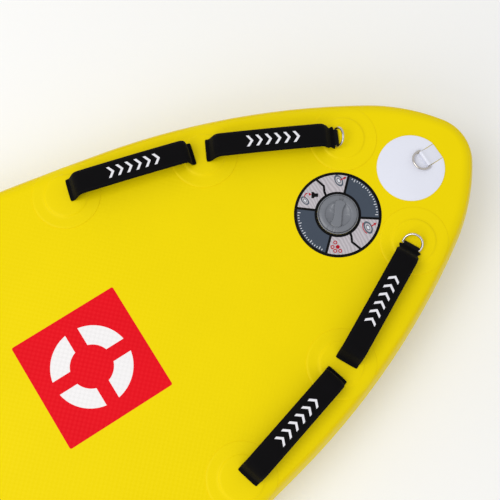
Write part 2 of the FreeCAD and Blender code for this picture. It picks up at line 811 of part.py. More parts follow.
def cap_grip():
    """The wavy grip bar across the cap's dish."""
    half_length = 22.5
    wide = 8.6
    waist = 6.3
    sway = 1.5
    sides = []
    for sign in (1, -1):
        line = []
        for x in spread(-half_length + 4, half_length - 4, 9):
            bow = waist + (wide - waist) * (x / (half_length - 4)) ** 2
            swing = sway * math.sin(math.pi * x / half_length)
            line.append(V(x, sign * bow + swing, 0))
        sides.append(line)
    upper, lower = sides
    edges = []
    for line in sides:
        curve = Part.BSplineCurve()
        curve.interpolate(Points=line)
        edges.append(curve.toShape())
    front_middle = (upper[-1] + lower[-1]) * 0.5 + V(4, 0, 0)
    rear_middle = (upper[0] + lower[0]) * 0.5 - V(4, 0, 0)
    edges.append(Part.Arc(upper[-1], front_middle, lower[-1]).toShape())
    edges.append(Part.Arc(upper[0], rear_middle, lower[0]).toShape())
    return Part.Face(Part.Wire(Part.__sortEdges__(edges)))


def valve_cap():
    """Cap with a dished top, a grip bar and a plug skirt with an O-ring groove."""
    top = FLANGE_HEIGHT + 2.0
    under = WELL_FLOOR + TETHER_THICKNESS + 0.35
    dish = 21.5
    floor = top - 2.4
    profile = [
        (0, floor), (dish - 2.5, floor), (dish, top - 0.4), (dish + 0.8, top),
        (CAP_RADIUS - 1.2, top), (CAP_RADIUS, top - 1.2), (CAP_RADIUS, under),
        (CAP_SKIRT_RADIUS, under), (CAP_SKIRT_RADIUS, -1.5), (CAP_SKIRT_RADIUS - 1.2, -1.5),
        (CAP_SKIRT_RADIUS - 1.2, -3.5), (CAP_SKIRT_RADIUS, -3.5), (CAP_SKIRT_RADIUS, -5.5),
        (CAP_SKIRT_RADIUS - 2.4, -5.5), (CAP_SKIRT_RADIUS - 2.4, floor - 1.6), (0, floor - 1.6),
    ]
    body = revolve(profile)
    bar_top = top + 2.2
    bar = cap_grip().extrude(V(0, 0, bar_top - floor + 0.5))
    bar.translate(V(0, 0, floor - 0.5))
    rim = [e for e in bar.Edges if e.BoundBox.ZMin > bar_top - 0.01]
    bar = bar.makeFillet(1.2, rim)
    cap = body.fuse(bar)
    cap.rotate(V(0, 0, 0), V(0, 0, 1), CAP_GRIP_TURN)
    return cap


def torus(radius, wire, height):
    return Part.makeTorus(radius, wire, V(0, 0, height))


TETHER_LOW = WELL_FLOOR + 0.02
TETHER_HIGH = WELL_FLOOR + TETHER_THICKNESS
COLLAR_RADIUS = CAP_SKIRT_RADIUS + 2.6
TETHER_TURN = 250.0


def cap_collar():
    """Swivel ring in which the cap turns; the tether's free end is fixed to it."""
    return ring(COLLAR_RADIUS, CAP_SKIRT_RADIUS + 0.15, TETHER_LOW, TETHER_HIGH)


def cap_tether():
    """Flat strap curled in the flange's well, from its anchor round to the collar."""
    inner = COLLAR_RADIUS + 1.6
    outer = inner + 5.0
    corners = [
        (inner, TETHER_LOW), (outer, TETHER_LOW), (outer, TETHER_HIGH), (inner, TETHER_HIGH),
    ]
    strap = polyline_face(corners).revolve(V(0, 0, 0), V(0, 0, 1), TETHER_TURN)
    thickness = TETHER_HIGH - TETHER_LOW
    anchor = Part.makeBox(4.0, 5.0, thickness, V(inner + 2.6, 0, TETHER_LOW))
    tab_from = COLLAR_RADIUS + 0.05
    tab = Part.makeBox(inner + 1.0 - tab_from, 5.0, thickness, V(tab_from, -5.0, TETHER_LOW))
    tab.rotate(V(0, 0, 0), V(0, 0, 1), TETHER_TURN)
    return strap.fuse([anchor, tab]).removeSplitter()


def valve():
    seat_low = -BARREL_DEPTH
    pieces = {
        "valve_body": valve_body(),
        "valve_nut": valve_nut(),
        "valve_gasket": ring(35.0, BARREL_RADIUS + 0.05, -SKIN - 1.5, -SKIN),
        "valve_stem": valve_stem(),
        "poppet_seal": ring(POPPET_RADIUS, STEM_RADIUS, seat_low - 1.6, seat_low - 0.05),
        "valve_spring": valve_spring(),
        "valve_cap": valve_cap(),
        "cap_seal": torus(CAP_SKIRT_RADIUS - 0.1, 0.95, -2.5),
        "cap_collar": cap_collar(),
        "cap_tether": cap_tether(),
    }
    nodes = {name: on_deck(shape, VALVE_X) for name, shape in pieces.items()}
    label = disc_face(VALVE_X, 0, LABEL_RADIUS)
    bore = on_deck(Part.makeCylinder(FLANGE_RADIUS + 0.2, 20, V(0, 0, -10)), VALVE_X)
    nodes["valve_label"] = on_deck_layer(label, 0, LABEL_THICKNESS).cut(bore)
    slope = deck_slope(VALVE_X)
    up = V(-math.sin(slope), 0, math.cos(slope))
    report("valve", V(VALVE_X, 0, deck(VALVE_X)), up)
    return nodes


def slice_between(shape, back_x, front_x):
    """The part of a shape that lies between two places along the board."""
    box = Part.makeBox(front_x - back_x, 2 * BOARD_WIDTH, 4 * BOARD_THICKNESS)
    box.translate(V(back_x, -BOARD_WIDTH, -BOARD_THICKNESS))
    return shape.common(box)


def deck_pads():
    """Soft kneeling pad in five panels, with a window for the centre handle."""
    length = PAD_FRONT_X - PAD_BACK_X
    centre = (PAD_FRONT_X + PAD_BACK_X) / 2
    outline = rounded_rectangle(centre, 0, length, 2 * PAD_HALF_WIDTH, 90)
    window = rounded_rectangle(0, 0, *PAD_WINDOW, 40)
    pad = on_deck_layer(outline.cut(window), 0, PAD_THICKNESS)
    fronts = [PAD_FRONT_X + PAD_GAP, *PAD_JOINTS]
    backs = [*PAD_JOINTS, PAD_BACK_X - PAD_GAP]
    panels = {}
    for number, (front, back) in enumerate(zip(fronts, backs), 1):
        panel = slice_between(pad, back + PAD_GAP / 2, front - PAD_GAP / 2)
        panels[f"deck_pad_{number}"] = panel
    return panels


def deck_layers(barrel):
    """The deck's outer coat in one piece and the base cloth under it in panels."""
    coat = on_deck_layer(DECK_FACE, -DECK_COAT, 0).cut(barrel)
    cloth = on_deck_layer(DECK_FACE, -SKIN, -DECK_COAT).cut(barrel)
    seams = spread(-NOSE_X, FLAT_BACK, TAIL_PANELS + 1) + spread(FLAT_FRONT, NOSE_X, NOSE_PANELS + 1)
    panels = [slice_between(cloth, back, front) for back, front in zip(seams, seams[1:])]
    return {"deck_skin": coat, "deck_base_cloth": Part.makeCompound(panels)}


def carry_handle():
    ends = ((-CARRY_SPAN / 2, 0.0), (CARRY_SPAN / 2, 0.0))
    placement, span = deck_frame(*ends)
    sleeve, webbing = handle(span, False)
    sleeve = set_down(sleeve, placement)
    webbing = set_down(webbing, placement)
    anchors = [patch_anchor(x, y) for x, y in ends]
    discs = [patch_disc(x, y).cut(webbing) for x, y in ends]
    return {
        "carry_handle": sleeve,
        "carry_handle_webbing": webbing,
        "carry_patch_anchors": Part.makeCompound(anchors),
        "carry_patch_discs": Part.makeCompound(discs),
    }


def fin_base():
    """Moulded slide-in fin base on its patch, under the tail."""
    length, width, height = FIN_BASE_SIZE
    slot_length, slot_width, slot_depth = FIN_SLOT
    patch_length, patch_width, patch_thickness = FIN_PATCH_SIZE
    patch = rounded_rectangle(FIN_BASE_X, 0, patch_length, patch_width, patch_width / 2 - 1)
    patch = layer(patch, -patch_thickness, 0)
    foot = rounded_rectangle(FIN_BASE_X, 0, length, width, width / 2 - 1)
    foot = layer(foot, -patch_thickness - 3.0, -patch_thickness)
    block_face = rounded_rectangle(FIN_BASE_X, 0, length - 26, 26, 12)
    block = layer(block_face, -height, -patch_thickness - 2.0)
    slot = rounded_rectangle(FIN_BASE_X, 0, slot_length, slot_width, 3)
    slot = layer(slot, -height - 1, -height + slot_depth)
    return {
        "fin_base": foot.fuse(block).cut(slot).removeSplitter(),
        "fin_base_patch": patch,
    }


def near_valve(x, y):
    return abs(x - VALVE_X) < 60 and abs(y) < 60


def write(nodes):
    os.makedirs("parts", exist_ok=True)
    for name, shape in nodes.items():
        solids = shape.Solids
        volume = sum(s.Volume for s in solids)
        print(f"{name}: {len(solids)} solid(s), valid {shape.isValid()}, {volume / 1000:.1f} cm3")
        body = solids[0] if len(solids) == 1 else Part.makeCompound(solids)
        body.exportStep(f"parts/{name}.step")


def build():
    nodes = {}
    barrel = on_deck(Part.makeCylinder(BARREL_RADIUS + 0.05, 20, V(0, 0, -10)), VALVE_X)
    nodes.update(deck_layers(barrel))
    nodes["hull_skin"] = layer(DECK_FACE, 0, SKIN)
    nodes["side_wall"] = side_wall()
    nodes.update(rail_tapes())
    nodes["drop_threads"] = drop_threads(near_valve)
    nodes.update(handle_groups())
    nodes.update(tow_patch("tow", TOW_STATION, 1))
    nodes.update(tow_patch("tail", TAIL_PATCH_STATION, -1))
    nodes.update(valve())
    nodes.update(deck_pads())
    nodes.update(carry_handle())
    nodes.update(fin_base())
    write(nodes)


build()
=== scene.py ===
import json
import math

import bpy
from mathutils import Matrix, Vector, noise

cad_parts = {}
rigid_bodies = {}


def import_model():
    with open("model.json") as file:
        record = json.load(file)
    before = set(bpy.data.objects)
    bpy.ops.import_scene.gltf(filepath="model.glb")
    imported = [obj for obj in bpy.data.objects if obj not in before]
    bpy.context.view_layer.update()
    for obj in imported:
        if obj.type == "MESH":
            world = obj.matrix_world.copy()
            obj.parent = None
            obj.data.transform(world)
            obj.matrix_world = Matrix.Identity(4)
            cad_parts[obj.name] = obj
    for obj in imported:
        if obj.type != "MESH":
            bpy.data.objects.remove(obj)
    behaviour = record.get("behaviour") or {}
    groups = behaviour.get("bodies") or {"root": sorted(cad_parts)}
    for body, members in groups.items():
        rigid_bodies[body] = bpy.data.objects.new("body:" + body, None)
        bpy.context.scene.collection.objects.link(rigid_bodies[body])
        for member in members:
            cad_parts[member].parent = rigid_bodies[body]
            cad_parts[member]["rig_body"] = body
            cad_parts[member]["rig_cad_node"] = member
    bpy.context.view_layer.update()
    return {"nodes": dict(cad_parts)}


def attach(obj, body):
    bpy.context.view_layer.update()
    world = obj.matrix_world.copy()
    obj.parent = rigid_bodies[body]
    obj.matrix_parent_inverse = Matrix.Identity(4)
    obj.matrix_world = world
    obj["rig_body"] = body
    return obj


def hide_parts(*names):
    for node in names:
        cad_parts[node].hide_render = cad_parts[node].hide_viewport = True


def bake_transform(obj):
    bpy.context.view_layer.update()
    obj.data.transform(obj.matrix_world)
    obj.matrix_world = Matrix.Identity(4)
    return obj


bl_info = {
    "name": "Inflatable Rescue Board",
    "version": (1, 0, 0),
    "blender": (4, 5, 0),
    "location": "View3D > Sidebar > Rescue Board",
    "description": "Coated fabric, padded handles, steel rings, valve, pad and fin base",
    "category": "Object",
}

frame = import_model()

# Sizes in millimetres; a station is a distance back from the nose tip
MM = 0.001
LENGTH = 3200.0
WIDTH = 808.0
THICKNESS = 120.0
NOSE_X = LENGTH / 2
NOSE_ARCS = ((83.0, 33.7), (324.0, 23.8), (1224.0, 21.1))
TAIL_ARCS = ((700.0, 14.0), (110.0, 48.0), (900.0, 14.0))
NOSE_ROCKER_RUN = 1100.0
NOSE_ROCKER_RISE = 60.0
TAIL_ROCKER_RUN = 900.0
TAIL_ROCKER_RISE = 50.0
RAIL_REACH = 30.0
SHOULDER = math.radians(65.0)
TAPE_START = math.radians(40.0)
TAPE_END = math.radians(71.0)
TAPE_THICKNESS = 0.7

HANDLE_GROUPS = {
    "nose": ((184.0, 71.0), (390.0, 66.5), (613.0, 60.5)),
    "middle": ((1230.0, 60.5), (1450.0, 60.5), (1670.0, 60.5)),
    "tail": ((2240.0, 60.5), (2460.0, 60.5), (2680.0, 60.5)),
}
PATCH_RADIUS = 55.0
PATCH_FILM = 0.9
ANCHOR_RADIUS = 33.0
DISC_TOP = 2.9
WEB_WIDTH = 26.5
WEB_THICKNESS = 1.2
SLEEVE_WIDTH = 38.5
SLEEVE_HEIGHT = 30.0
SLEEVE_CROWN = 1.5
SLEEVE_EDGE = 1.5
SLEEVE_OUTWARD = 5.5
RING_WIRE = 1.9
RING_BOW = 15.6
RING_DEPTH = 21.0
RING_CORNER = 2.2
RING_BAR_STATION = 12.0
RING_BAR_HEIGHT = DISC_TOP + 0.2 + RING_WIRE
WEB_LOOP_RADIUS = 3.8
WEB_TAB_HEIGHT = RING_BAR_HEIGHT - WEB_LOOP_RADIUS
WEB_TAB_LENGTH = 14.0
RING_REST = {"port": 62.0, "starboard": 30.0}
CARRY_SPAN = 236.0

TOW_STATION = 120.0
TAIL_PATCH_STATION = 3060.0
TOW_BAR_AHEAD = 27.5
TOW_BAR_HEIGHT = 4.0
TOW_RING_REST = 12.0
# The strap's lower ply under the towing bar, from and to along the board
PLY_FROM = -9.0
PLY_TO = 2.0
PLY_WIDTH = 26.8
PLY_LIFT = 0.15
PLY_THICKNESS = 1.0

VALVE_STATION = 262.0
VALVE_X = NOSE_X - VALVE_STATION
LABEL_RADIUS = 70.5
LABEL_THICKNESS = 0.4
FLANGE_RADIUS = 33.0
LABEL_RIM = 4.6
LABEL_INNER = FLANGE_RADIUS + LABEL_RIM
LABEL_OUTER = LABEL_RADIUS - LABEL_RIM
# Dividing lines of the label as (radius, degrees from the nose towards port)
DIVIDERS = (
    ((LABEL_INNER, 39.5), (LABEL_OUTER, 41.0)),
    ((LABEL_INNER, 87.5), (43.0, 86.5), (52.0, 82.0), (LABEL_OUTER, 87.0)),
    ((LABEL_INNER, 136.0), (LABEL_OUTER, 138.0)),
    ((LABEL_INNER, 218.5), (LABEL_OUTER, 220.0)),
    ((LABEL_INNER, 269.0), (42.0, 267.5), (50.5, 263.0), (LABEL_OUTER, 269.0)),
    ((LABEL_INNER, 318.5), (LABEL_OUTER, 321.0)),
)
PALE_FIELDS = (0, 1, 3, 4)
SLATE_FIELDS = (2, 5)
PRINT_HEIGHT = 0.08
SIGN_HEIGHT = 0.06
# Signs of the label, where a place is (radius, degrees)
# How the cap comes off: a cap seen from above in three fields, as (place, size, lean)
CAP_SIGNS = (((56.3, 54.7), 10.5, -5.0), ((52.8, -57.1), 11.0, -8.0), ((57.3, 123.6), 8.5, 10.0))
CAP_SQUASH = 0.6
# Arrows as (tail, head, width); loops as (place, radius, width, squash, lean, start, end)
ARROW_SIGNS = (
    ((57.5, 52.0), (64.0, 43.5), 1.8),
    ((57.0, -53.0), (63.5, -45.5), 1.8),
    ((57.6, 111.5), (53.5, 108.5), 0.8),
)
LOOP_SIGNS = (
    ((52.8, -57.1), 12.4, 1.9, 0.7, -8.0, 115.0, 225.0),
    ((57.0, 115.0), 5.6, 1.6, 1.0, 115.0, -60.0, 70.0),
    ((53.3, 236.1), 2.0, 1.9),
)
DOT_SIGNS = ((46.4, 231.1), (54.5, 227.2), (53.3, 236.1), (60.0, 232.3), (59.9, 239.9))
# A pump's nozzle, drawn from the side
NOZZLE_PLACE = (50.2, 107.5)
NOZZLE_LEAN = 146.0
NOZZLE_OUTLINE = (
    (-7.5, 3.0), (-2.2, 3.0), (-0.6, 5.2), (3.4, 5.2), (3.4, -5.2), (-0.6, -5.2), (-2.2, -3.0),
    (-7.5, -3.0),
)
# The ticks on the two slate fields; start, step and width are in degrees
TICK_STARTS = (-34.0, 144.0)
TICK_COUNT = 18
TICK_STEP = 4.0
TICK_WIDTH = 1.1
TICK_RADIUS = 64.6
SHORT_TICK = 2.6
LONG_TICK = 4.6

PANEL_STATION = 717.5
PANEL_SIDE = 4.0
PANEL_SIZE = 181.0


# Shape of the board


def end_arcs(arcs):
    """All arcs of one end as (centre back from the tip, centre out, radius, from, to)."""
    turned = 0.0
    reached = 0.0
    for radius, degrees in arcs:
        before = math.sin(turned)
        turned += math.radians(degrees)
        reached += radius * (math.sin(turned) - before)
    last = (WIDTH / 2 - reached) / (1 - math.sin(turned))
    found = []
    angle = 0.0
    back = arcs[0][0]
    out = 0.0
    previous = arcs[0][0]
    for radius, degrees in (*arcs, (last, 90 - math.degrees(turned))):
        back += (radius - previous) * math.cos(angle)
        out -= (radius - previous) * math.sin(angle)
        end = angle + math.radians(degrees)
        found.append((back, out, radius, angle, end))
        angle = end
        previous = radius
    return found


NOSE_OUTLINE = end_arcs(NOSE_ARCS)
TAIL_OUTLINE = end_arcs(TAIL_ARCS)
ARC_STEPS = 14
SIDE_STEPS = 12


def rail_frames():
    """Places down the port side, RAIL_REACH inside the outline, as (x, y, outward angle)."""

    def walk(outline):
        for back, out, radius, start, end in outline:
            reach = radius - RAIL_REACH
            for step in range(ARC_STEPS):
                turn = start + (end - start) * step / ARC_STEPS
                yield back - reach * math.cos(turn), out + reach * math.sin(turn), turn

    places = [(NOSE_X - back, out, turn) for back, out, turn in walk(NOSE_OUTLINE)]
    front = NOSE_X - NOSE_OUTLINE[-1][0]
    rear = TAIL_OUTLINE[-1][0] - NOSE_X
    for step in range(SIDE_STEPS + 1):
        x = front + (rear - front) * step / SIDE_STEPS
        places.append((x, WIDTH / 2 - RAIL_REACH, math.pi / 2))
    tail = list(walk(TAIL_OUTLINE))
    places += [(back - NOSE_X, out, math.pi - turn) for back, out, turn in reversed(tail)]
    return places


FRAMES = rail_frames()


def rail_point(station, inset):
    """The point at a station on the port outline drawn in by inset."""
    for arcs, sign in ((NOSE_OUTLINE, 1), (TAIL_OUTLINE, -1)):
        wanted = station if sign > 0 else LENGTH - station
        for back, out, radius, start, end in arcs:
            reach = radius - inset
            if back - reach * math.cos(start) <= wanted <= back - reach * math.cos(end):
                angle = math.acos((back - wanted) / reach)
                return NOSE_X - station, out + reach * math.sin(angle)
    return NOSE_X - station, WIDTH / 2 - inset


NOSE_ROCKER = (NOSE_ROCKER_RUN**2 + NOSE_ROCKER_RISE**2) / (2 * NOSE_ROCKER_RISE)
TAIL_ROCKER = (TAIL_ROCKER_RUN**2 + TAIL_ROCKER_RISE**2) / (2 * TAIL_ROCKER_RISE)
FLAT_FRONT = NOSE_X - NOSE_ROCKER_RUN
FLAT_BACK = TAIL_ROCKER_RUN - NOSE_X


def rocker(x):
    if x > FLAT_FRONT:
        return NOSE_ROCKER - math.sqrt(NOSE_ROCKER**2 - (x - FLAT_FRONT) ** 2)
    if x < FLAT_BACK:
        return TAIL_ROCKER - math.sqrt(TAIL_ROCKER**2 - (x - FLAT_BACK) ** 2)
    return 0.0


def deck(x):
    return rocker(x) + THICKNESS


def deck_slope(x):
    if x > FLAT_FRONT:
        return math.asin((x - FLAT_FRONT) / NOSE_ROCKER)
    if x < FLAT_BACK:
        return math.asin((x - FLAT_BACK) / TAIL_ROCKER)
    return 0.0


# The rail's section is a small shoulder arc and a large wall arc, tangent to each other
SINE, COSINE = math.sin(SHOULDER), math.cos(SHOULDER)
WALL_RADIUS = (THICKNESS / 2 * SINE - RAIL_REACH * (1 - COSINE)) / (
    COSINE * SINE - (1 - SINE) * (1 - COSINE)
)
SHOULDER_RADIUS = (RAIL_REACH - WALL_RADIUS * (1 - SINE)) / SINE


def rail_at(angle, grow=0.0):
    """A point on the rail's section as (out, up from the deck), angle from straight up."""
    if angle > math.pi / 2:
        out, up = rail_at(math.pi - angle, grow)
        return out, -THICKNESS - up
    if angle <= SHOULDER:
        reach = SHOULDER_RADIUS + grow
        return reach * math.sin(angle), reach * math.cos(angle) - SHOULDER_RADIUS
    shift = SHOULDER_RADIUS - WALL_RADIUS
    reach = WALL_RADIUS + grow
    out = shift * SINE + reach * math.sin(angle)
    return out, shift * COSINE - SHOULDER_RADIUS + reach * math.cos(angle)


def on_rail(place, side, angle, grow=0.0):
    x, y, turn = place
    out, up = rail_at(angle, grow)
    return x + out * math.cos(turn), side * (y + out * math.sin(turn)), deck(x) + up


def edge_place(x, y):
    """The nearest place on the deck's port edge, as (x, y, outward angle) and the way past it."""
    half = WIDTH / 2 - RAIL_REACH
    for outline, sign in ((NOSE_OUTLINE, 1), (TAIL_OUTLINE, -1)):
        for back, out, radius, start, end in outline:
            centre_x = sign * (NOSE_X - back)
            turn = math.atan2(y - out, sign * (x - centre_x))
            if start <= turn <= end:
                reach = radius - RAIL_REACH
                away = math.hypot(x - centre_x, y - out)
                edge_x = centre_x + sign * reach * math.cos(turn)
                outward = turn if sign > 0 else math.pi - turn
                return (edge_x, out + reach * math.sin(turn), outward), away - reach
    return (x, half, math.pi / 2), y - half


def on_board(x, y, height):
    """A flat place laid on the deck, and past the deck's edge wrapped over the shoulder."""
    side = 1 if y >= 0 else -1
    place, beyond = edge_place(x, abs(y))
    if beyond <= 0:
        return x, y, deck(x) + height
    if beyond < SHOULDER_RADIUS * SHOULDER:
        return on_rail(place, side, beyond / SHOULDER_RADIUS, height)
    past = beyond - SHOULDER_RADIUS * SHOULDER
    return on_rail(place, side, SHOULDER + past / WALL_RADIUS, height)


def smooth(t):
    t = max(0.0, min(1.0, t))
    return t * t * (3 - 2 * t)


# Making pieces


def start_clean():
    if bpy.context.object and bpy.context.object.mode != "OBJECT":
        bpy.ops.object.mode_set(mode="OBJECT")
    bpy.ops.object.select_all(action="DESELECT")


def pick(piece):
    start_clean()
    piece.select_set(True)
    bpy.context.view_layer.objects.active = piece


def close_up(piece, gap=0.02, outward=True):
    """Merge doubles and turn all faces outwards."""
    pick(piece)
    bpy.ops.object.mode_set(mode="EDIT")
    bpy.ops.mesh.select_all(action="SELECT")
    bpy.ops.mesh.remove_doubles(threshold=gap * MM)
    bpy.ops.mesh.dissolve_degenerate(threshold=gap * MM / 4)
    if outward:
        bpy.ops.mesh.normals_make_consistent(inside=False)
    bpy.ops.object.mode_set(mode="OBJECT")


def laid_grid(name, columns, rows, rule, marks=None, gap=0.02, paint=None):
    """A grid primitive whose points are laid by rule(column, row), in millimetres.

    marks(column, row) gives the point's place on the cloth for its UV map, in millimetres;
    paint(row) numbers the material of the faces past that row.
    """
    start_clean()
    bpy.ops.mesh.primitive_grid_add(x_subdivisions=columns, y_subdivisions=rows, size=2)
    piece = bpy.context.object
    piece.name = piece.data.name = name
    cells = [
        (round((v.co.x + 1) / 2 * columns), round((v.co.y + 1) / 2 * rows))
        for v in piece.data.vertices
    ]
    for vertex, cell in zip(piece.data.vertices, cells):
        vertex.co = Vector(rule(*cell)) * MM
    if marks:
        layer = piece.data.uv_layers[0]
        for loop, mark in zip(piece.data.loops, layer.data):
            mark.uv = Vector(marks(*cells[loop.vertex_index])) * MM
    if paint:
        for face in piece.data.polygons:
            face.material_index = paint(min(cells[v][1] for v in face.vertices))
    close_up(piece, gap)
    return piece


def turned(name, profile, steps, place):
    """A closed (radius, height) profile spun about Z, each point then put by place."""
    start_clean()
    bpy.ops.mesh.primitive_circle_add(vertices=len(profile), radius=1)
    piece = bpy.context.object
    piece.name = piece.data.name = name
    for vertex, (radius, height) in zip(piece.data.vertices, profile):
        vertex.co = (radius, 0, height)
    bpy.ops.object.mode_set(mode="EDIT")
    bpy.ops.mesh.select_all(action="SELECT")
    bpy.ops.mesh.spin(steps=steps, angle=2 * math.pi, center=(0, 0, 0), axis=(0, 0, 1))
    bpy.ops.object.mode_set(mode="OBJECT")
    for vertex in piece.data.vertices:
        vertex.co = Vector(place(*vertex.co)) * MM
    close_up(piece)
    return piece


def bent_wire(name, points, radius):
    """A closed ring of round wire along points in millimetres."""
    start_clean()
    bpy.ops.curve.primitive_bezier_circle_add()
    wire = bpy.context.object
    wire.name = wire.data.name = name
    wire.data.splines.clear()
    line = wire.data.splines.new("POLY")
    line.points.add(len(points) - 1)
    for spot, point in zip(line.points, points):
        spot.co = (*(Vector(point) * MM), 1)
    line.use_cyclic_u = True
    wire.data.bevel_depth = radius * MM
    wire.data.bevel_resolution = 5
    pick(wire)
    bpy.ops.object.convert(target="MESH")
    return bpy.context.object


def flat_mark(points, place, thickness=0.1):
    """A thin flat shape with a drawn outline, each point put by place(x, y, height)."""
    start_clean()
    bpy.ops.mesh.primitive_circle_add(vertices=len(points), fill_type="NGON")
    piece = bpy.context.object
    for vertex, (x, y) in zip(piece.data.vertices, points):
        vertex.co = (x, y, 0)
    bpy.ops.object.mode_set(mode="EDIT")
    bpy.ops.mesh.select_all(action="SELECT")
    bpy.ops.mesh.extrude_region_move(TRANSFORM_OT_translate={"value": (0, 0, thickness)})
    bpy.ops.object.mode_set(mode="OBJECT")
    for vertex in piece.data.vertices:
        vertex.co = Vector(place(*vertex.co)) * MM
    close_up(piece, 0.005)
    return piece


def joined(name, pieces):
    start_clean()
    for piece in pieces:
        piece.select_set(True)
    bpy.context.view_layer.objects.active = pieces[0]
    bpy.ops.object.join()
    whole = bpy.context.object
    whole.name = whole.data.name = name
    return whole


def node_copy(name, node, edge=0.0):
    """A merged copy of a CAD node, with its edges rounded by edge millimetres."""
    piece = frame["nodes"][node].copy()
    piece.data = piece.data.copy()
    piece.parent = None
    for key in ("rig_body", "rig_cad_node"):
        if key in piece:
            del piece[key]
    bpy.context.scene.collection.objects.link(piece)
    piece.name = piece.data.name = name
    close_up(piece, 0.002, outward=False)
    if edge:
        pick(piece)
        bevel = piece.modifiers.new("rounded edges", "BEVEL")
        bevel.width = edge * MM
        bevel.segments = 2
        bevel.limit_method = "ANGLE"
        bevel.angle_limit = math.radians(50)
        bpy.ops.object.modifier_apply(modifier=bevel.name)
    return piece


def finished(piece, body, materials, replaces=(), angle=35.0):
    """Shade and dress a piece and hang it on its body, if one carries all of it."""
    pick(piece)
    bpy.ops.object.shade_smooth_by_angle(angle=math.radians(angle))
    piece.data.materials.clear()
    for material in materials:
        piece.data.materials.append(material)
    if body:
        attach(piece, body)
    if replaces:
        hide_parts(*replaces)
    return piece


def dressed(node, material):
    """Give a CAD node that stays as it is its material."""
    mesh = frame["nodes"][node].data
    mesh.materials.clear()
    mesh.materials.append(material)


# Materials


def linear(colour):
    """An sRGB hex value as linear RGBA."""

    def channel(pair):
        level = int(pair, 16) / 255
        return level / 12.92 if level <= 0.04045 else ((level + 0.055) / 1.055) ** 2.4

    return (*(channel(colour[k : k + 2]) for k in (0, 2, 4)), 1.0)


def chosen(setting):
    """A colour of the settings as RGBA."""
    return (*getattr(bpy.context.scene.rescue_board, setting), 1.0)


def add(tree, kind, inputs=None, **settings):
    """A node with its settings made and its inputs set or linked."""
    made = tree.nodes.new(kind)
    for name, value in settings.items():
        setattr(made, name, value)
    for name, value in (inputs or {}).items():
        if isinstance(value, bpy.types.NodeSocket):
            tree.links.new(value, made.inputs[name])
        else:
            made.inputs[name].default_value = value
    return made


def surface(name, roughness, **sockets):
    """A new material as (material, tree, shader, object coordinates)."""
    material = bpy.data.materials.new(name)
    material.use_nodes = True
    tree = material.node_tree
    shader = tree.nodes["Principled BSDF"]
    shader.inputs["Roughness"].default_value = roughness
    for socket, value in sockets.items():
        shader.inputs[socket.replace("_", " ")].default_value = value
    coords = add(tree, "ShaderNodeTexCoord")
    return material, tree, shader, coords.outputs["Object"]


def maths(tree, operation, first, second=0.0, third=None):
    inputs = {0: first, 1: second}
    if third is not None:
        inputs[2] = third
    return add(tree, "ShaderNodeMath", inputs, operation=operation).outputs[0]


def vectors(tree, operation, first, second=(0, 0, 0), output="Vector"):
    made = add(tree, "ShaderNodeVectorMath", {0: first, 1: second}, operation=operation)
    return made.outputs[output]


def parts(tree, vector):
    """The x, y and z of a vector."""
    return add(tree, "ShaderNodeSeparateXYZ", {0: vector}).outputs


def mixed(tree, share, first, second):
    return add(tree, "ShaderNodeMix", {0: share, 6: first, 7: second}, data_type="RGBA").outputs[2]


def speckle(tree, where, scale, detail=2.0):
    """Noise from 0 to 1; scale is spots per metre."""
    inputs = {"Vector": where, "Scale": scale, "Detail": detail}
    return add(tree, "ShaderNodeTexNoise", inputs).outputs["Fac"]


def either_side(colour, spread):
    """The colour made darker and made lighter by a share."""
    low = tuple(c * (1 - spread) for c in colour[:3]) + (1.0,)
    high = tuple(min(1.0, c * (1 + spread)) for c in colour[:3]) + (1.0,)
    return low, high


def mottled(tree, where, colour, scale, spread):
    """The colour with soft lighter and darker spots; scale is spots per metre."""
    return mixed(tree, speckle(tree, where, scale, 3.0), *either_side(colour, spread))


def coloured(tree, shader, colour):
    tree.links.new(colour, shader.inputs["Base Color"])


def bumped(tree, shader, height, distance):
    bump = add(tree, "ShaderNodeBump", {"Height": height, "Distance": distance * MM})
    tree.links.new(bump.outputs["Normal"], shader.inputs["Normal"])


def checker(tree, where, turns):
    """A soft checker of rises and hollows; turns is radians per metre."""
    waves = parts(tree, vectors(tree, "SINE", vectors(tree, "MULTIPLY", where, (turns, turns, 0))))
    return maths(tree, "MULTIPLY", waves[0], waves[1])


def weave(tree, pitch):
    """The cloth's own coordinates and the height of its yarn, pitch in millimetres."""
    cloth = add(tree, "ShaderNodeUVMap").outputs["UV"]
    return cloth, checker(tree, cloth, 2 * math.pi / (pitch * MM))


def grained(name, colour, roughness, spots, spread, grain, depth, **sockets):
    """A mottled material with a fine grain; spots and grain are per metre, depth in mm."""
    material, tree, shader, where = surface(name, roughness, **sockets)
    coloured(tree, shader, mottled(tree, where, colour, spots, spread))
    bumped(tree, shader, speckle(tree, where, grain), depth)
    return material


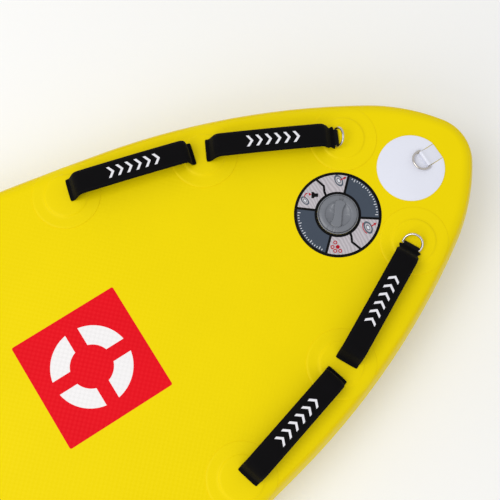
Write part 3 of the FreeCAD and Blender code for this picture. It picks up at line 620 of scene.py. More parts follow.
def panel_sign(tree, where):
    """Where the square sign lies and where its lifebuoy, a ring cut by four bands, is white."""
    corner = 3.0
    ring_middle = 49.0
    ring_half = 15.0
    band_half = 11.0
    centre = ((NOSE_X - PANEL_STATION) * MM, PANEL_SIDE * MM, 0)
    flat = vectors(tree, "MULTIPLY", vectors(tree, "SUBTRACT", where, centre), (1, 1, 0))
    half = (PANEL_SIZE / 2 - corner) * MM
    over = vectors(tree, "SUBTRACT", vectors(tree, "ABSOLUTE", flat), (half, half, 0))
    off = vectors(tree, "LENGTH", vectors(tree, "MAXIMUM", over, (0, 0, 0)), output="Value")
    on_top = maths(tree, "GREATER_THAN", parts(tree, where)[2], THICKNESS / 2 * MM)
    inside = maths(tree, "MULTIPLY", maths(tree, "LESS_THAN", off, corner * MM), on_top)
    radius = vectors(tree, "LENGTH", flat, output="Value")
    away = maths(tree, "ABSOLUTE", maths(tree, "SUBTRACT", radius, ring_middle * MM))
    ring = maths(tree, "LESS_THAN", away, ring_half * MM)
    legs = parts(tree, vectors(tree, "ABSOLUTE", flat))
    nearest = maths(tree, "MINIMUM", legs[0], legs[1])
    buoy = maths(tree, "MULTIPLY", ring, maths(tree, "GREATER_THAN", nearest, band_half * MM))
    return inside, buoy


def coated_deck():
    """PVC-coated drop-stitch cloth: satin, with a fine field of thread dimples."""
    choice = bpy.context.scene.rescue_board
    material, tree, shader, where = surface("pvc_coated_drop_stitch", 0.45, Specular_IOR_Level=0.06)
    inside, buoy = panel_sign(tree, where)
    yellow = mottled(tree, where, chosen("deck_yellow"), 9.0, 0.03)
    red = mottled(tree, where, chosen("panel_red"), 14.0, 0.05)
    coloured(tree, shader, mixed(tree, inside, yellow, mixed(tree, buoy, red, linear("F2F0F0"))))
    # Hollows where the drop threads pull the skin in, fainter towards the nose
    dimples = checker(tree, where, math.pi * math.sqrt(2) / choice.dimple_pitch)
    patchy = maths(tree, "ADD", speckle(tree, where, 5.0, 1.0), 0.2)
    field = maths(tree, "MULTIPLY", maths(tree, "MULTIPLY", dimples, 0.5), patchy)
    ahead = parts(tree, where)[0]
    stretch = {"Value": ahead, "From Min": 0.9, "From Max": 1.3, "To Min": 1.0, "To Max": 0.12}
    fade = add(tree, "ShaderNodeMapRange", stretch).outputs[0]
    deeper = maths(tree, "ADD", maths(tree, "MULTIPLY", inside, 0.7), 0.55)
    depth = maths(tree, "MULTIPLY", fade, deeper)
    bumped(tree, shader, maths(tree, "MULTIPLY", field, depth), 0.55)
    return material


def coated_plain(name, colour, roughness=0.38, shine=0.07):
    """PVC-coated cloth with no threads behind it: smooth satin with a faint leathery grain."""
    return grained(name, colour, roughness, 12.0, 0.03, 900.0, 0.05, Specular_IOR_Level=shine)


def knitted_sleeve(printed):
    """Black polyester knit over foam: matt, with a fuzzy rim and rows of stitches."""
    name = "polyester_knit_printed" if printed else "polyester_knit"
    material, tree, shader, where = surface(
        name, 0.82, Sheen_Weight=0.015, Sheen_Roughness=0.4, Specular_IOR_Level=0.1
    )
    knit_pitch = 0.9
    seam_side = 15.6
    seam_half = 0.45
    stitch_pitch = 3.2
    cloth, knit = weave(tree, knit_pitch)
    place = parts(tree, cloth)
    along = place[0]
    side = maths(tree, "ABSOLUTE", place[1])
    seam_gap = maths(tree, "ABSOLUTE", maths(tree, "SUBTRACT", side, seam_side * MM))
    dash = maths(tree, "SINE", maths(tree, "MULTIPLY", along, 2 * math.pi / (stitch_pitch * MM)))
    stitch = maths(tree, "LESS_THAN", seam_gap, seam_half * MM)
    stitch = maths(tree, "MULTIPLY", stitch, maths(tree, "GREATER_THAN", dash, -0.4))
    height = maths(tree, "ADD", maths(tree, "MULTIPLY", knit, 0.35), stitch)
    black = mottled(tree, where, linear("060507"), 60.0, 0.25)
    colour = mixed(tree, maths(tree, "MULTIPLY", stitch, 0.5), black, linear("17161A"))
    if printed:
        # White chevrons pointing to the nose, as on many grab handles
        bar_pitch = 15.0
        bar_share = 0.3
        bar_half_width = 9.0
        row_middle = 6.0
        row_half = 44.0
        slanted = maths(tree, "ADD", along, maths(tree, "MULTIPLY", side, 0.75))
        step = maths(tree, "FRACT", maths(tree, "DIVIDE", slanted, bar_pitch * MM))
        bar = maths(tree, "LESS_THAN", step, bar_share)
        bar = maths(tree, "MULTIPLY", bar, maths(tree, "LESS_THAN", side, bar_half_width * MM))
        shifted = maths(tree, "ABSOLUTE", maths(tree, "SUBTRACT", along, row_middle * MM))
        bar = maths(tree, "MULTIPLY", bar, maths(tree, "LESS_THAN", shifted, row_half * MM))
        colour = mixed(tree, bar, colour, linear("E9E8EE"))
    coloured(tree, shader, colour)
    bumped(tree, shader, height, 0.12)
    return material


def woven_webbing():
    """Black polyester webbing: a plain weave of thick yarn with a slight shine."""
    material, tree, shader, where = surface("polyester_webbing", 0.7, Specular_IOR_Level=0.15)
    yarn_pitch = 1.6
    _, yarn = weave(tree, yarn_pitch)
    coloured(tree, shader, mottled(tree, where, linear("09080A"), 200.0, 0.3))
    bumped(tree, shader, yarn, 0.2)
    return material


def polished_steel():
    """Stainless wire, tumbled and electropolished: bright, with faint draw marks."""
    colour = linear("CFC9C4")
    return grained("stainless_electropolished", colour, 0.16, 260.0, 0.08, 700.0, 0.02, Metallic=1.0)


def moulded_nylon(name, colour, roughness=0.4):
    """Glass-filled nylon, injection moulded: even, with a fine spark-eroded texture."""
    return grained(name, colour, roughness, 70.0, 0.05, 1500.0, 0.05)


def moulded_rubber():
    """EPDM, compression moulded: dark, matt, slightly uneven."""
    return grained("epdm_moulded", linear("1B1A1B"), 0.6, 150.0, 0.1, 800.0, 0.05)


def printed_vinyl(name, colour, brushed=0.0):
    """Screen-printed vinyl film: flat and even, some fields printed with fine streaks."""
    if not brushed:
        return grained(name, colour, 0.5, 90.0, 0.04, 1200.0, 0.02, Specular_IOR_Level=0.08)
    material, tree, shader, where = surface(name, 0.5, Specular_IOR_Level=0.08)
    inputs = {"Vector": where, "Scale": 60.0, "Distortion": 9.0, "Detail": 2.0, "Detail Scale": 0.5}
    streaks = add(tree, "ShaderNodeTexWave", inputs).outputs["Fac"]
    coloured(tree, shader, mixed(tree, streaks, *either_side(colour, brushed)))
    bumped(tree, shader, speckle(tree, where, 1200.0), 0.02)
    return material


def embossed_foam():
    """EVA foam: brushed and matt, with diamond grooves pressed into the top."""
    material, tree, shader, where = surface("eva_foam_embossed", 0.85)
    coloured(tree, shader, mottled(tree, where, chosen("pad_grey"), 500.0, 0.12))
    diamond = 26.0
    turned_45 = add(tree, "ShaderNodeMapping", {"Vector": where, "Rotation": (0, 0, math.pi / 4)})
    cells = vectors(tree, "DIVIDE", turned_45.outputs[0], (diamond * MM,) * 3)
    cells = vectors(tree, "FRACTION", cells)
    middle = parts(tree, vectors(tree, "SUBTRACT", cells, (0.5, 0.5, 0.5)))
    sides = [maths(tree, "ABSOLUTE", middle[k]) for k in (0, 1)]
    furthest = maths(tree, "MAXIMUM", *sides)
    groove = maths(tree, "SMOOTH_MIN", maths(tree, "SUBTRACT", 0.5, furthest), 0.07, 0.05)
    brushed = maths(tree, "MULTIPLY", speckle(tree, where, 1400.0), 0.15)
    height = maths(tree, "ADD", maths(tree, "MULTIPLY", groove, 12.0), brushed)
    bumped(tree, shader, height, 0.8)
    return material


# Handles


class HandleEnd:
    """One end of a sleeve in side view: two arcs with a straight climb between them.

    Its points are (distance from the patch centre, height, slope), from the end to the top.
    """

    def __init__(self, start, height, steepness, low, high):
        self.start = start
        self.height = height
        self.steepness = math.radians(steepness)
        self.low = low
        self.high = high

    def points(self, top):
        steep = self.steepness
        fall = 1 - math.cos(steep)
        climb = (top - self.height - (self.low + self.high) * fall) / math.sin(steep)
        found = [(self.start + lead, self.height, 0.0) for lead in (0.0, 0.35, 1.4)]
        away = self.start + 3.0
        up = self.height
        for k in range(9):
            slope = steep * k / 8
            found.append(
                (away + self.low * math.sin(slope), up + self.low * (1 - math.cos(slope)), slope)
            )
        away, up, _ = found[-1]
        for k in range(1, 7):
            found.append(
                (away + climb * math.cos(steep) * k / 6, up + climb * math.sin(steep) * k / 6, steep)
            )
        away, up, _ = found[-1]
        for k in range(1, 13):
            slope = steep * (1 - k / 12)
            ahead = math.sin(steep) - math.sin(slope)
            higher = math.cos(slope) - math.cos(steep)
            found.append((away + self.high * ahead, up + self.high * higher, slope))
        return found


REAR_END = HandleEnd(6.5, DISC_TOP + SLEEVE_EDGE, 62.0, 6.0, 12.0)
FRONT_END = HandleEnd(14.0, DISC_TOP + SLEEVE_EDGE, 78.0, 5.0, 9.0)
RING_END = HandleEnd(RING_BAR_STATION + 2.6, RING_BAR_HEIGHT + WEB_LOOP_RADIUS, 56.0, 8.0, 10.0)
# Half width of a sleeve by the way from its ring end: corners, waist, full width
RING_END_HALF_WIDTHS = ((0.0, 17.0), (1.6, 19.0), (3.2, 18.8), (7.5, 16.6), (9.5, 16.8), (16.0, 19.25))


def between(pairs, at):
    """The value at a place in (place, value) pairs, eased from pair to pair."""
    for (start, low), (end, high) in zip(pairs, pairs[1:]):
        if at < end:
            return low + (high - low) * smooth((at - start) / (end - start))
    return pairs[-1][1]


class Handle:
    """A handle's place on the deck and its side view."""

    def __init__(self, rear, front, holds_ring):
        start = Vector((*rear, deck(rear[0])))
        end = Vector((*front, deck(front[0])))
        slope = deck_slope((rear[0] + front[0]) / 2)
        up = Vector((-math.sin(slope), 0, math.cos(slope)))
        along = (end - start).normalized()
        across = up.cross(along).normalized()
        up = along.cross(across)
        self.span = (end - start).length
        self.base = (start + end) / 2
        self.axes = Matrix((along, across, up)).transposed()
        self.holds_ring = holds_ring

    def put(self, x, y, z):
        return self.base + self.axes @ Vector((x, y, z))

    def line(self, rear, front):
        """The points of both ends and the level stretch between, as (x, height, slope)."""
        half = self.span / 2
        rear = [(d - half, z, slope) for d, z, slope in rear]
        front = [(half - d, z, -slope) for d, z, slope in reversed(front)]
        run = front[0][0] - rear[-1][0]
        level = []
        steps = 36
        for k in range(1, steps):
            off_middle = 2 * k / steps - 1
            height = SLEEVE_HEIGHT - SLEEVE_CROWN * off_middle**2
            level.append((rear[-1][0] + run * k / steps, height, 0.0))
        return rear + level + front

    def band(self, name, line, half_width, half_thickness, flatness, steps, ruffle=0.0):
        """A flat tube along a line, closed at both ends; the sizes go by the way along it."""
        ways = [0.0]
        for (x, z, _), (next_x, next_z, _) in zip(line, line[1:]):
            ways.append(ways[-1] + math.hypot(next_x - x, next_z - z))
        last = len(line) - 1
        sections = [(0, 0.0), (0, 0.7), (1, 0.93)] + [(k, 1.0) for k in range(2, last - 1)]
        sections += [(last - 1, 0.93), (last, 0.7), (last, 0.0)]
        girth = 2 * math.pi / steps

        def local(column, row):
            k, share = sections[column]
            x, height, slope = line[k]
            to_rear, to_front = ways[k], ways[-1] - ways[k]
            across = math.cos(row * girth)
            rise = math.sin(row * girth)
            y = half_width(to_rear, to_front) * share * math.copysign(abs(across) ** flatness, across)
            off = half_thickness(to_rear, to_front) * share * rise
            if ruffle:
                spot = Vector((ways[k] / 14, y / 9, self.base.y / 50))
                off += ruffle * share * rise * noise.noise(spot)
            return x - off * math.sin(slope), y, height + off * math.cos(slope)

        def rule(column, row):
            return self.put(*local(column, row))

        def marks(column, row):
            return ways[sections[column][0]] - ways[-1] / 2, local(column, row)[1]

        return laid_grid(name, len(sections) - 1, steps, rule, marks)

    def front_end(self):
        return RING_END if self.holds_ring else FRONT_END

    def sleeve(self, name):
        top = SLEEVE_HEIGHT - SLEEVE_CROWN
        full = bpy.context.scene.rescue_board.sleeve_thickness / MM / 2
        rear_seam = 7.0
        front_seams = (16.0, 20.5) if self.holds_ring else (rear_seam,)
        seam_width = 1.3
        seam_depth = 0.5

        def half_width(to_rear, to_front):
            if self.holds_ring and to_front < RING_END_HALF_WIDTHS[-1][0]:
                return between(RING_END_HALF_WIDTHS, to_front)
            return SLEEVE_WIDTH / 2 * (0.975 + 0.025 * smooth(min(to_rear, to_front) / 20))

        def half_thickness(to_rear, to_front):
            thick = SLEEVE_EDGE + (full - SLEEVE_EDGE) * smooth(min(to_rear, to_front) / 32)
            pinch = math.exp(-(((to_rear - rear_seam) / seam_width) ** 2))
            pinch += sum(math.exp(-(((to_front - seam) / seam_width) ** 2)) for seam in front_seams)
            return thick - seam_depth * pinch

        line = self.line(REAR_END.points(top), self.front_end().points(top))
        return self.band(name, line, half_width, half_thickness, 0.5, 36, 0.5)

    def webbing(self, name):
        """The strap inside the sleeve, welded in at the rear, looped round a ring in front."""
        top = SLEEVE_HEIGHT - SLEEVE_CROWN
        ends = []
        for end in (REAR_END, self.front_end()):
            inside = [point for point in end.points(top) if point[0] > end.start + 4.0]
            if end is RING_END:
                tab = [(RING_BAR_STATION + d, WEB_TAB_HEIGHT, math.pi) for d in (12.0, 11.0, 6.0)]
                for k in range(13):
                    turn = math.pi * k / 12
                    away = RING_BAR_STATION - WEB_LOOP_RADIUS * math.sin(turn)
                    height = RING_BAR_HEIGHT - WEB_LOOP_RADIUS * math.cos(turn)
                    tab.append((away, height, math.pi - turn))
            else:
                flat = (-WEB_TAB_LENGTH, 1 - WEB_TAB_LENGTH, 0.0, end.start + 0.5)
                tab = [(d, WEB_TAB_HEIGHT, 0.0) for d in flat]
                tab.append((end.start + 2.5, (WEB_TAB_HEIGHT + end.height) / 2, 0.7))
            ends.append(tab + inside)
        return self.band(
            name, self.line(*ends), lambda *_: WEB_WIDTH / 2, lambda *_: WEB_THICKNESS / 2, 0.25, 16
        )


def handle_places(outward=0.0):
    """All side handles as (node, group, side name, Handle); ends without a ring lie outward."""
    for group, patches in HANDLE_GROUPS.items():
        for side_name, side in (("port", 1), ("starboard", -1)):
            for place, front, rear in (("front", 0, 1), ("rear", 1, 2)):
                holds_ring = group == "nose" and place == "front"
                ends = []
                for number, fixed in ((rear, False), (front, holds_ring)):
                    station, inset = patches[number]
                    x, y = rail_point(station, inset if fixed else inset - outward)
                    ends.append((x, side * y))
                made = Handle(*ends, holds_ring)
                yield f"{group}_handle_{side_name}_{place}", group, side_name, made


def patch_centres(group):
    for station, inset in HANDLE_GROUPS[group]:
        x, y = rail_point(station, inset)
        yield x, y
        yield x, -y


def deck_disc(name, x, y):
    """A welded round patch, stepped up over the anchor disc beneath it."""
    inner = ANCHOR_RADIUS
    under = 0.1
    profile = [(radius, under) for radius in (0, inner, inner + 8, PATCH_RADIUS - 6, PATCH_RADIUS)]
    profile.append((PATCH_RADIUS, PATCH_FILM - 0.25))
    profile += [(PATCH_RADIUS - 0.3 - 3.6 * k, PATCH_FILM) for k in range(5)]
    profile += [
        (inner + 3.4, PATCH_FILM + 0.05), (inner + 2.6, PATCH_FILM + 0.35), (inner + 1.2, DISC_TOP - 0.4),
        (inner, DISC_TOP - 0.1), (inner - 2.0, DISC_TOP), (inner - 14.0, DISC_TOP), (0, DISC_TOP),
    ]
    return turned(name, profile, 80, lambda px, py, h: on_board(x + px, y + py, h))


def ring_line():
    """The D-ring's centre line, bar along Y at the origin and bow towards -X."""
    bend = RING_BOW - RING_CORNER
    points = [(0, -bend), (0, bend)]
    for k in range(1, 7):
        turn = math.radians(15 * k)
        points.append((-RING_CORNER * (1 - math.cos(turn)), bend + RING_CORNER * math.sin(turn)))
    straight = RING_DEPTH - RING_BOW
    for k in range(25):
        turn = math.pi / 2 + math.pi * k / 24
        points.append((-straight + RING_BOW * math.cos(turn), RING_BOW * math.sin(turn)))
    for k in range(6, 0, -1):
        turn = math.radians(15 * k)
        points.append((-RING_CORNER * (1 - math.cos(turn)), -bend - RING_CORNER * math.sin(turn)))
    return points


def tow_frame(station, facing):
    """Bar place and axes of a towing patch, X towards the board's end."""
    x = NOSE_X - station + facing * TOW_BAR_AHEAD
    slope = deck_slope(x)
    along = Vector((math.cos(slope), 0, math.sin(slope))) * facing
    up = Vector((-math.sin(slope), 0, math.cos(slope)))
    axes = Matrix((along, up.cross(along), up)).transposed()
    return Vector((x, 0, deck(x))), axes


# Settings


class RescueBoardSettings(bpy.types.PropertyGroup):
    deck_yellow: bpy.props.FloatVectorProperty(
        name="Deck yellow", description="Colour of the coated cloth", subtype="COLOR",
        size=3, default=linear("F0D700")[:3], min=0, max=1,
    )
    panel_red: bpy.props.FloatVectorProperty(
        name="Panel red", description="Colour of the square sign on the deck", subtype="COLOR",
        size=3, default=linear("E60F1E")[:3], min=0, max=1,
    )
    pad_grey: bpy.props.FloatVectorProperty(
        name="Pad grey", description="Colour of the kneeling pad", subtype="COLOR",
        size=3, default=linear("4A4E54")[:3], min=0, max=1,
    )
    dimple_pitch: bpy.props.FloatProperty(
        name="Dimple pitch", description="Distance between the thread dimples", unit="LENGTH",
        default=0.0068, min=0.003, max=0.02,
    )
    sleeve_thickness: bpy.props.FloatProperty(
        name="Sleeve thickness", description="Thickness of a padded handle", unit="LENGTH",
        default=0.0088, min=0.005, max=0.015,
    )
    floor_size: bpy.props.FloatProperty(
        name="Floor size", description="Width of the studio floor", unit="LENGTH",
        default=24.0, min=4.0, max=60.0,
    )


class BOARD_OT_stage(bpy.types.Operator):
    """Pale floor, soft studio light and the camera"""

    bl_idname = "rescue_board.stage"
    bl_label = "Stage"

    def execute(self, context):
        start_clean()
        bpy.ops.mesh.primitive_plane_add(size=context.scene.rescue_board.floor_size)
        floor = context.object
        floor.name = "floor"
        material, tree, shader, where = surface("painted_studio_floor", 0.9, Specular_IOR_Level=0.1)
        coloured(tree, shader, mottled(tree, where, linear("FDFDFC"), 0.7, 0.004))
        floor.data.materials.append(material)

        context.scene.view_settings.view_transform = "Standard"
        world = bpy.data.worlds.new("studio")
        context.scene.world = world
        world.use_nodes = True
        background = world.node_tree.nodes["Background"]
        background.inputs["Color"].default_value = (1.0, 1.0, 1.0, 1.0)
        background.inputs["Strength"].default_value = 0.69

        for name, place, aim, size, power in (
            ("key softbox", (-0.7, 0.6, 3.2), (0.7, 0.0, 0.1), 1.8, 36.0),
            ("rear softbox", (-2.8, -1.4, 3.2), (-1.2, 0.0, 0.1), 2.4, 45.0),
        ):
            bpy.ops.object.light_add(type="AREA", location=place)
            light = context.object
            light.name = name
            light.data.size = size
            light.data.energy = power
            direction = Vector(aim) - Vector(place)
            light.rotation_euler = direction.to_track_quat("-Z", "Y").to_euler()

        target = Vector((1182.9, 22.9, 170.0)) * MM
        distance = 1330.4 * MM
        elevation = math.radians(75.85)
        azimuth = math.radians(-137.96)
        roll = math.radians(15.57)
        back = Vector(
            (
                math.cos(elevation) * math.cos(azimuth),
                math.cos(elevation) * math.sin(azimuth),
                math.sin(elevation),
            )
        )
        level = Vector((0, 0, 1)).cross(back).normalized()
        upright = back.cross(level)
        right = level * math.cos(roll) + upright * math.sin(roll)
        up = back.cross(right)
        bpy.ops.object.camera_add()
        camera = context.object
        turn = Matrix((right, up, back)).transposed().to_4x4()
        camera.matrix_world = Matrix.Translation(target + back * distance) @ turn
        frame_side = 500.0
        focal_pixels = 850.0
        sensor_width = 36.0
        camera.data.sensor_width = sensor_width
        camera.data.lens = sensor_width * focal_pixels / frame_side
        context.scene.camera = camera
        return {"FINISHED"}


class BOARD_OT_shell(bpy.types.Operator):
    """Inflated shell: deck, hull and rails in one tight skin, with the two seam tapes"""

    bl_idname = "rescue_board.shell"
    bl_label = "Shell and tapes"

    def execute(self, context):
        deck_rows = 9
        rail_rows = 34
        half = 2 * deck_rows + rail_rows
        flat_limit = 0.985

        def half_section(place, side, row):
            x, y, _ = place
            if row <= deck_rows:
                return x, side * y * row / deck_rows, deck(x)
            if row >= deck_rows + rail_rows:
                return x, side * y * (half - row) / deck_rows, rocker(x)
            return on_rail(place, side, math.pi * (row - deck_rows) / rail_rows)

        def rule(column, row):
            if row <= half:
                return half_section(FRAMES[column], 1, row)
            return half_section(FRAMES[column], -1, 2 * half - row)

        shell = laid_grid("board_shell", len(FRAMES) - 1, 2 * half, rule, gap=0.05)
        fabric = coated_deck()
        rail = coated_plain("pvc_coated_rail", linear("E9CC04"))
        for face in shell.data.polygons:
            face.material_index = 0 if abs(face.normal.z) > flat_limit else 1
        finished(
            shell, "board", [fabric, rail], ("deck_skin", "hull_skin", "side_wall"), 60,
        )

        tape = coated_plain("pvc_seam_tape", linear("ECD004"), 0.34)
        glue = coated_plain("pu_glue_line", linear("BBA000"), 0.6)
        steps = 14
        outer = [TAPE_START + (TAPE_END - TAPE_START) * k / steps for k in range(steps + 1)]
        edge_height = 0.15
        sunk = -0.1
        loop = [(angle, TAPE_THICKNESS) for angle in outer]
        loop[0] = (TAPE_START, edge_height)
        loop[-1] = (outer[-1], edge_height)
        loop += [(angle, sunk) for angle in reversed(outer)]
        around = [(place, 1) for place in FRAMES] + [(place, -1) for place in reversed(FRAMES)]
        for name, flip in (("deck_rail_tape", False), ("hull_rail_tape", True)):

            def tape_rule(column, row):
                place, side = around[column % len(around)]
                angle, grow = loop[row % len(loop)]
                return on_rail(place, side, math.pi - angle if flip else angle, grow)

            edges = (0, steps - 1)
            band = laid_grid(
                f"{name}_band", len(around), len(loop), tape_rule, paint=lambda row: int(row in edges)
            )
            finished(band, "board", [tape, glue], (name,), 40)
        return {"FINISHED"}


class BOARD_OT_handles(bpy.types.Operator):
    """Padded handle sleeves with their webbing and welded patches"""

    bl_idname = "rescue_board.handles"
    bl_label = "Handles and patches"

    def execute(self, context):
        printed = knitted_sleeve(True)
        plain = knitted_sleeve(False)
        strap = woven_webbing()
        patch = coated_plain("pvc_welded_patch", chosen("deck_yellow"), 0.4)

        def cover(handle, name, node, knit):
            sleeve = finished(handle.sleeve(name), "board", [knit], (node,), 60)

        def weld(group, web, places):
            finished(web, "board", [strap], (f"{group}_handle_webbing",), 60)
            discs = joined(f"{group}_patches", [deck_disc(f"{group}_disc", x, y) for x, y in places])
            finished(discs, "board", [patch], (f"{group}_patch_discs",), 40)

        webs = {}
        for node, group, _, handle in handle_places(SLEEVE_OUTWARD):
            cover(handle, f"{node}_sleeve", node, printed)
            webs.setdefault(group, []).append(handle.webbing(f"{node}_web"))
        for group, pieces in webs.items():
            weld(group, joined(f"{group}_webbing", pieces), patch_centres(group))

        rear, front = (-CARRY_SPAN / 2, 0.0), (CARRY_SPAN / 2, 0.0)
        handle = Handle(rear, front, False)
        cover(handle, "carry_sleeve", "carry_handle", plain)
        weld("carry", handle.webbing("carry_web"), (front, rear))
        return {"FINISHED"}


class BOARD_OT_rings(bpy.types.Operator):
    """Four D-rings, the two towing straps and their white patches"""

    bl_idname = "rescue_board.rings"
    bl_label = "Rings and towing patches"

    def execute(self, context):
        steel = polished_steel()
        white = coated_plain("pvc_white_gloss", linear("E6E8F4"), 0.14, 0.5)

        def hang(name, node, rest, put):
            """A ring swung to its rest angle about its bar, each point then put by put(x, y, height)."""
            turn = math.radians(rest)
            points = [put(x * math.cos(turn), y, -x * math.sin(turn)) for x, y in ring_line()]
            finished(bent_wire(name, points, RING_WIRE), node, [steel], (node,), 60)

        for _, _, side_name, handle in handle_places():
            if not handle.holds_ring:
                continue
            bar_x = handle.span / 2 - RING_BAR_STATION
            hang(
                f"handle_d_ring_{side_name}", f"handle_ring_{side_name}", RING_REST[side_name],
                lambda x, y, h: handle.put(bar_x - x, y, RING_BAR_HEIGHT + h),
            )

        for prefix, station, facing in (("tow", TOW_STATION, 1), ("tail", TAIL_PATCH_STATION, -1)):
            spot, axes = tow_frame(station, facing)
            hang(
                f"{prefix}_d_ring", f"{prefix}_ring", TOW_RING_REST,
                lambda x, y, h: spot + axes @ Vector((x, y, TOW_BAR_HEIGHT + h)),
            )
            strap = node_copy(f"{prefix}_strap_fold", f"{prefix}_strap", 0.35)
            finished(strap, "board", [white], (f"{prefix}_strap",), 40)
            disc = node_copy(f"{prefix}_white_patch", f"{prefix}_patch_disc", 0.3)
            finished(disc, "board", [white], (f"{prefix}_patch_disc",), 40)
            # Under the bar the strap's lower ply closes the opening in the patch
            half = PLY_WIDTH / 2
            ply = flat_mark(
                [(PLY_FROM, -half), (PLY_TO, -half), (PLY_TO, half), (PLY_FROM, half)],
                lambda x, y, h: spot + axes @ Vector((x, y, PLY_LIFT + h)),
                PLY_THICKNESS,
            )
            ply.name = ply.data.name = f"{prefix}_lower_ply"
            finished(ply, "board", [white], (), 40)
        return {"FINISHED"}


class BOARD_OT_valve(bpy.types.Operator):
    """Deck valve with its printed label, cap, collar, tether and inner pieces"""

    bl_idname = "rescue_board.valve"
    bl_label = "Valve"

    def on_label(self, x, y, height):
        return VALVE_X + x, y, deck(VALVE_X + x) + LABEL_THICKNESS + height

    def on_print(self, x, y, height):
        return self.on_label(x, y, height + PRINT_HEIGHT)

    def polar(self, radius, degrees):
        turn = math.radians(degrees)
        return radius * math.cos(turn), radius * math.sin(turn)

    def leaned(self, x, y, centre, degrees):
        """A point of a sign turned by degrees and moved to the sign's centre."""
        turn = math.radians(degrees)
        ahead = x * math.cos(turn) - y * math.sin(turn)
        aside = x * math.sin(turn) + y * math.cos(turn)
        return centre[0] + ahead, centre[1] + aside

    def arc_band(self, inner, outer, start, end, step=5.0):
        count = max(2, round(abs(end - start) / step))
        turns = [start + (end - start) * k / count for k in range(count + 1)]
        return [self.polar(outer, t) for t in turns] + [self.polar(inner, t) for t in reversed(turns)]

    def field(self, first, last):
        """The outline of a printed field between two dividing lines."""
        line_half = 2.0
        near = [(radius, turn + math.degrees(line_half / radius)) for radius, turn in first]
        far = [(radius, turn - math.degrees(line_half / radius)) for radius, turn in last]
        outline = []
        steps = 10
        for line, radius, start, end in (
            (near, LABEL_OUTER, near[-1][1], far[-1][1]), (far[::-1], LABEL_INNER, far[0][1], near[0][1]),
        ):
            outline += [self.polar(*point) for point in line]
            for k in range(1, steps):
                outline.append(self.polar(radius, start + (end - start) * k / steps))
        return outline

    def loop(self, centre, radius, width, squash=1.0, lean=0.0, start=0.0, end=360.0):
        """A drawn ring or part of one, in two halves, squashed along one direction."""
        marks = []
        middle = (start + end) / 2
        for first, last in ((start, middle), (middle, end)):
            band = self.arc_band(radius - width, radius, first, last, 18)
            marks.append([self.leaned(x * squash, y, centre, lean) for x, y in band])
        return marks

    def arrow(self, tail, head, width):
        head_length = 4.4
        head_half = 2.6
        tail, head = Vector(self.polar(*tail)), Vector(self.polar(*head))
        ahead = (head - tail).normalized()
        side = Vector((-ahead.y, ahead.x))
        neck = head - ahead * head_length
        shaft = side * width / 2
        barb = side * head_half
        corners = [tail + shaft, neck + shaft, neck + barb, head, neck - barb, neck - shaft, tail - shaft]
        return [tuple(corner) for corner in corners]

    def drawn(self, outlines, name, material, place, thickness):
        pieces = [flat_mark(outline, place, thickness) for outline in outlines]
        finished(joined(name, pieces), "board", [material], (), 30)

    def label(self):
        light = printed_vinyl("vinyl_print_pale", linear("BCB6BB"), 0.13)
        slate = printed_vinyl("vinyl_print_slate", linear("454E5B"))
        black = printed_vinyl("vinyl_print_black", linear("0A090B"))
        red = printed_vinyl("vinyl_print_red", linear("B31322"))
        dark = printed_vinyl("vinyl_print_grey", linear("56606C"))
        white = printed_vinyl("vinyl_print_white", linear("D9DCE2"))
        hole = FLANGE_RADIUS + 0.2
        rim = [
            (hole, 0), (LABEL_RADIUS, 0), (LABEL_RADIUS, 0.3), (LABEL_RADIUS - 0.2, LABEL_THICKNESS),
            (hole, LABEL_THICKNESS),
        ]
        disc = turned(
            "label_film", rim, 96, lambda x, y, h: self.on_label(x, y, h - LABEL_THICKNESS)
        )
        finished(disc, "board", [black], ("valve_label",), 40)
        for name, numbers, material in (
            ("label_pale_fields", PALE_FIELDS, light), ("label_slate_fields", SLATE_FIELDS, slate),
        ):
            outlines = []
            for number in numbers:
                first, last = DIVIDERS[number], DIVIDERS[(number + 1) % len(DIVIDERS)]
                if last[0][1] < first[0][1]:
                    last = [(radius, turn + 360) for radius, turn in last]
                outlines.append(self.field(first, last))
            self.drawn(outlines, name, material, self.on_label, PRINT_HEIGHT)

        rings = []
        hearts = []
        for place, size, lean in CAP_SIGNS:
            centre = self.polar(*place)
            rings += self.loop(centre, size, size * 0.3, CAP_SQUASH, lean)
            rings += self.loop(centre, size * 0.45, size * 0.14, CAP_SQUASH, lean)
            hearts += self.loop(centre, size * 0.3, size * 0.29, CAP_SQUASH, lean)
        signs = [self.arrow(*arrow) for arrow in ARROW_SIGNS]
        for place, *shape in LOOP_SIGNS:
            signs += self.loop(self.polar(*place), *shape)
        for place in DOT_SIGNS:
            signs += self.loop(self.polar(*place), 3.2, 1.5)
        nozzle_centre = self.polar(*NOZZLE_PLACE)
        nozzle = [self.leaned(x, y, nozzle_centre, NOZZLE_LEAN) for x, y in NOZZLE_OUTLINE]
        ticks = []
        for start in TICK_STARTS:
            for k in range(TICK_COUNT):
                turn = start + TICK_STEP * k
                length = SHORT_TICK if k % 4 else LONG_TICK
                ticks.append(self.arc_band(TICK_RADIUS - length, TICK_RADIUS, turn, turn + TICK_WIDTH, 1))
        for name, outlines, material in (
            ("label_grey_signs", rings, dark), ("label_white_signs", hearts, white),
            ("label_red_signs", signs, red), ("label_black_signs", [nozzle], black),
            ("label_scale_ticks", ticks, white),
        ):
            self.drawn(outlines, name, material, self.on_print, SIGN_HEIGHT)

    def execute(self, context):
        self.label()
        grey = moulded_nylon("nylon_grey_moulded", linear("74777E"), 0.3)
        dark_nylon = moulded_nylon("nylon_black_moulded", linear("26262A"), 0.45)
        rubber = moulded_rubber()
        for node, body in (("valve_body", "board"), ("valve_cap", "valve_cap")):
            copy = node_copy(f"{node}_moulding", node)
            finished(copy, body, [grey], (node,), 32)
        tether = node_copy("tether_strap", "cap_tether", 0.15)
        finished(tether, None, [dark_nylon], ("cap_tether",), 35)
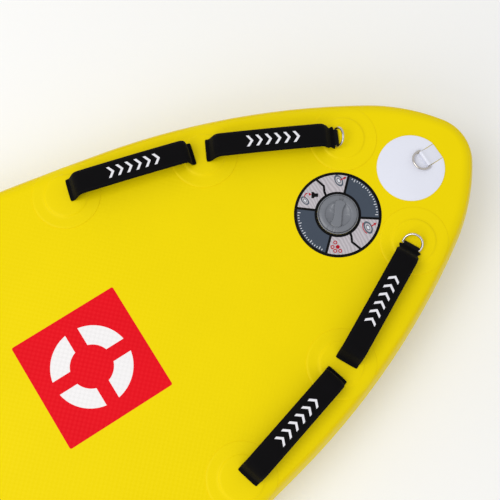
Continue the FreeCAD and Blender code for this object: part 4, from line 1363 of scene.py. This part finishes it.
        # The tether's copy hangs on no body; its place is baked into its points
        hub = Vector((VALVE_X, 0, deck(VALVE_X))) * MM
        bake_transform(tether)
        for node, material in (
            ("cap_collar", dark_nylon), ("valve_nut", dark_nylon), ("valve_gasket", rubber),
            ("cap_seal", rubber), ("poppet_seal", rubber), ("valve_stem", grey),
            ("valve_spring", polished_steel()),
        ):
            dressed(node, material)
        return {"FINISHED"}


class BOARD_OT_pad(bpy.types.Operator):
    """Kneeling pad, fin base and the pieces that stay inside"""

    bl_idname = "rescue_board.pad"
    bl_label = "Pad and fin base"

    def execute(self, context):
        foam = embossed_foam()
        for number in range(1, 6):
            pad = node_copy(f"kneeling_pad_{number}", f"deck_pad_{number}", 1.6)
            finished(pad, "board", [foam], (f"deck_pad_{number}",), 40)
        black = moulded_nylon("nylon_fin_base", linear("1C1C1F"), 0.42)
        base = node_copy("fin_base_moulding", "fin_base", 0.8)
        finished(base, "board", [black], ("fin_base",), 35)
        fabric = coated_plain("pvc_fin_patch", linear("EBD003"), 0.4)
        patch = node_copy("fin_patch", "fin_base_patch", 0.3)
        finished(patch, "board", [fabric], ("fin_base_patch",), 40)
        yarn = coated_plain("polyester_yarn", linear("DAD9D2"), 0.8)
        strap = coated_plain("polyester_anchor_cloth", linear("1A181B"), 0.8)
        inside = {"drop_threads": yarn, "carry_patch_anchors": strap, "deck_base_cloth": yarn}
        for group in HANDLE_GROUPS:
            inside[f"{group}_patch_anchors"] = strap
        for node, material in inside.items():
            dressed(node, material)
        return {"FINISHED"}


STEPS = (BOARD_OT_stage, BOARD_OT_shell, BOARD_OT_handles, BOARD_OT_rings, BOARD_OT_valve, BOARD_OT_pad)


class BOARD_PT_panel(bpy.types.Panel):
    bl_label = "Rescue Board"
    bl_space_type = "VIEW_3D"
    bl_region_type = "UI"
    bl_category = "Rescue Board"

    def draw(self, context):
        settings = context.scene.rescue_board
        for name in settings.bl_rna.properties.keys():
            if name not in ("rna_type", "name"):
                self.layout.prop(settings, name)
        for step in STEPS:
            self.layout.operator(step.bl_idname)


CLASSES = (RescueBoardSettings, *STEPS, BOARD_PT_panel)


def register():
    for part in CLASSES:
        bpy.utils.register_class(part)
    bpy.types.Scene.rescue_board = bpy.props.PointerProperty(type=RescueBoardSettings)


def unregister():
    del bpy.types.Scene.rescue_board
    for part in reversed(CLASSES):
        bpy.utils.unregister_class(part)


def main():
    register()
    for step in STEPS:
        group, name = step.bl_idname.split(".")
        getattr(getattr(bpy.ops, group), name)()


if __name__ == "__main__":
    main()
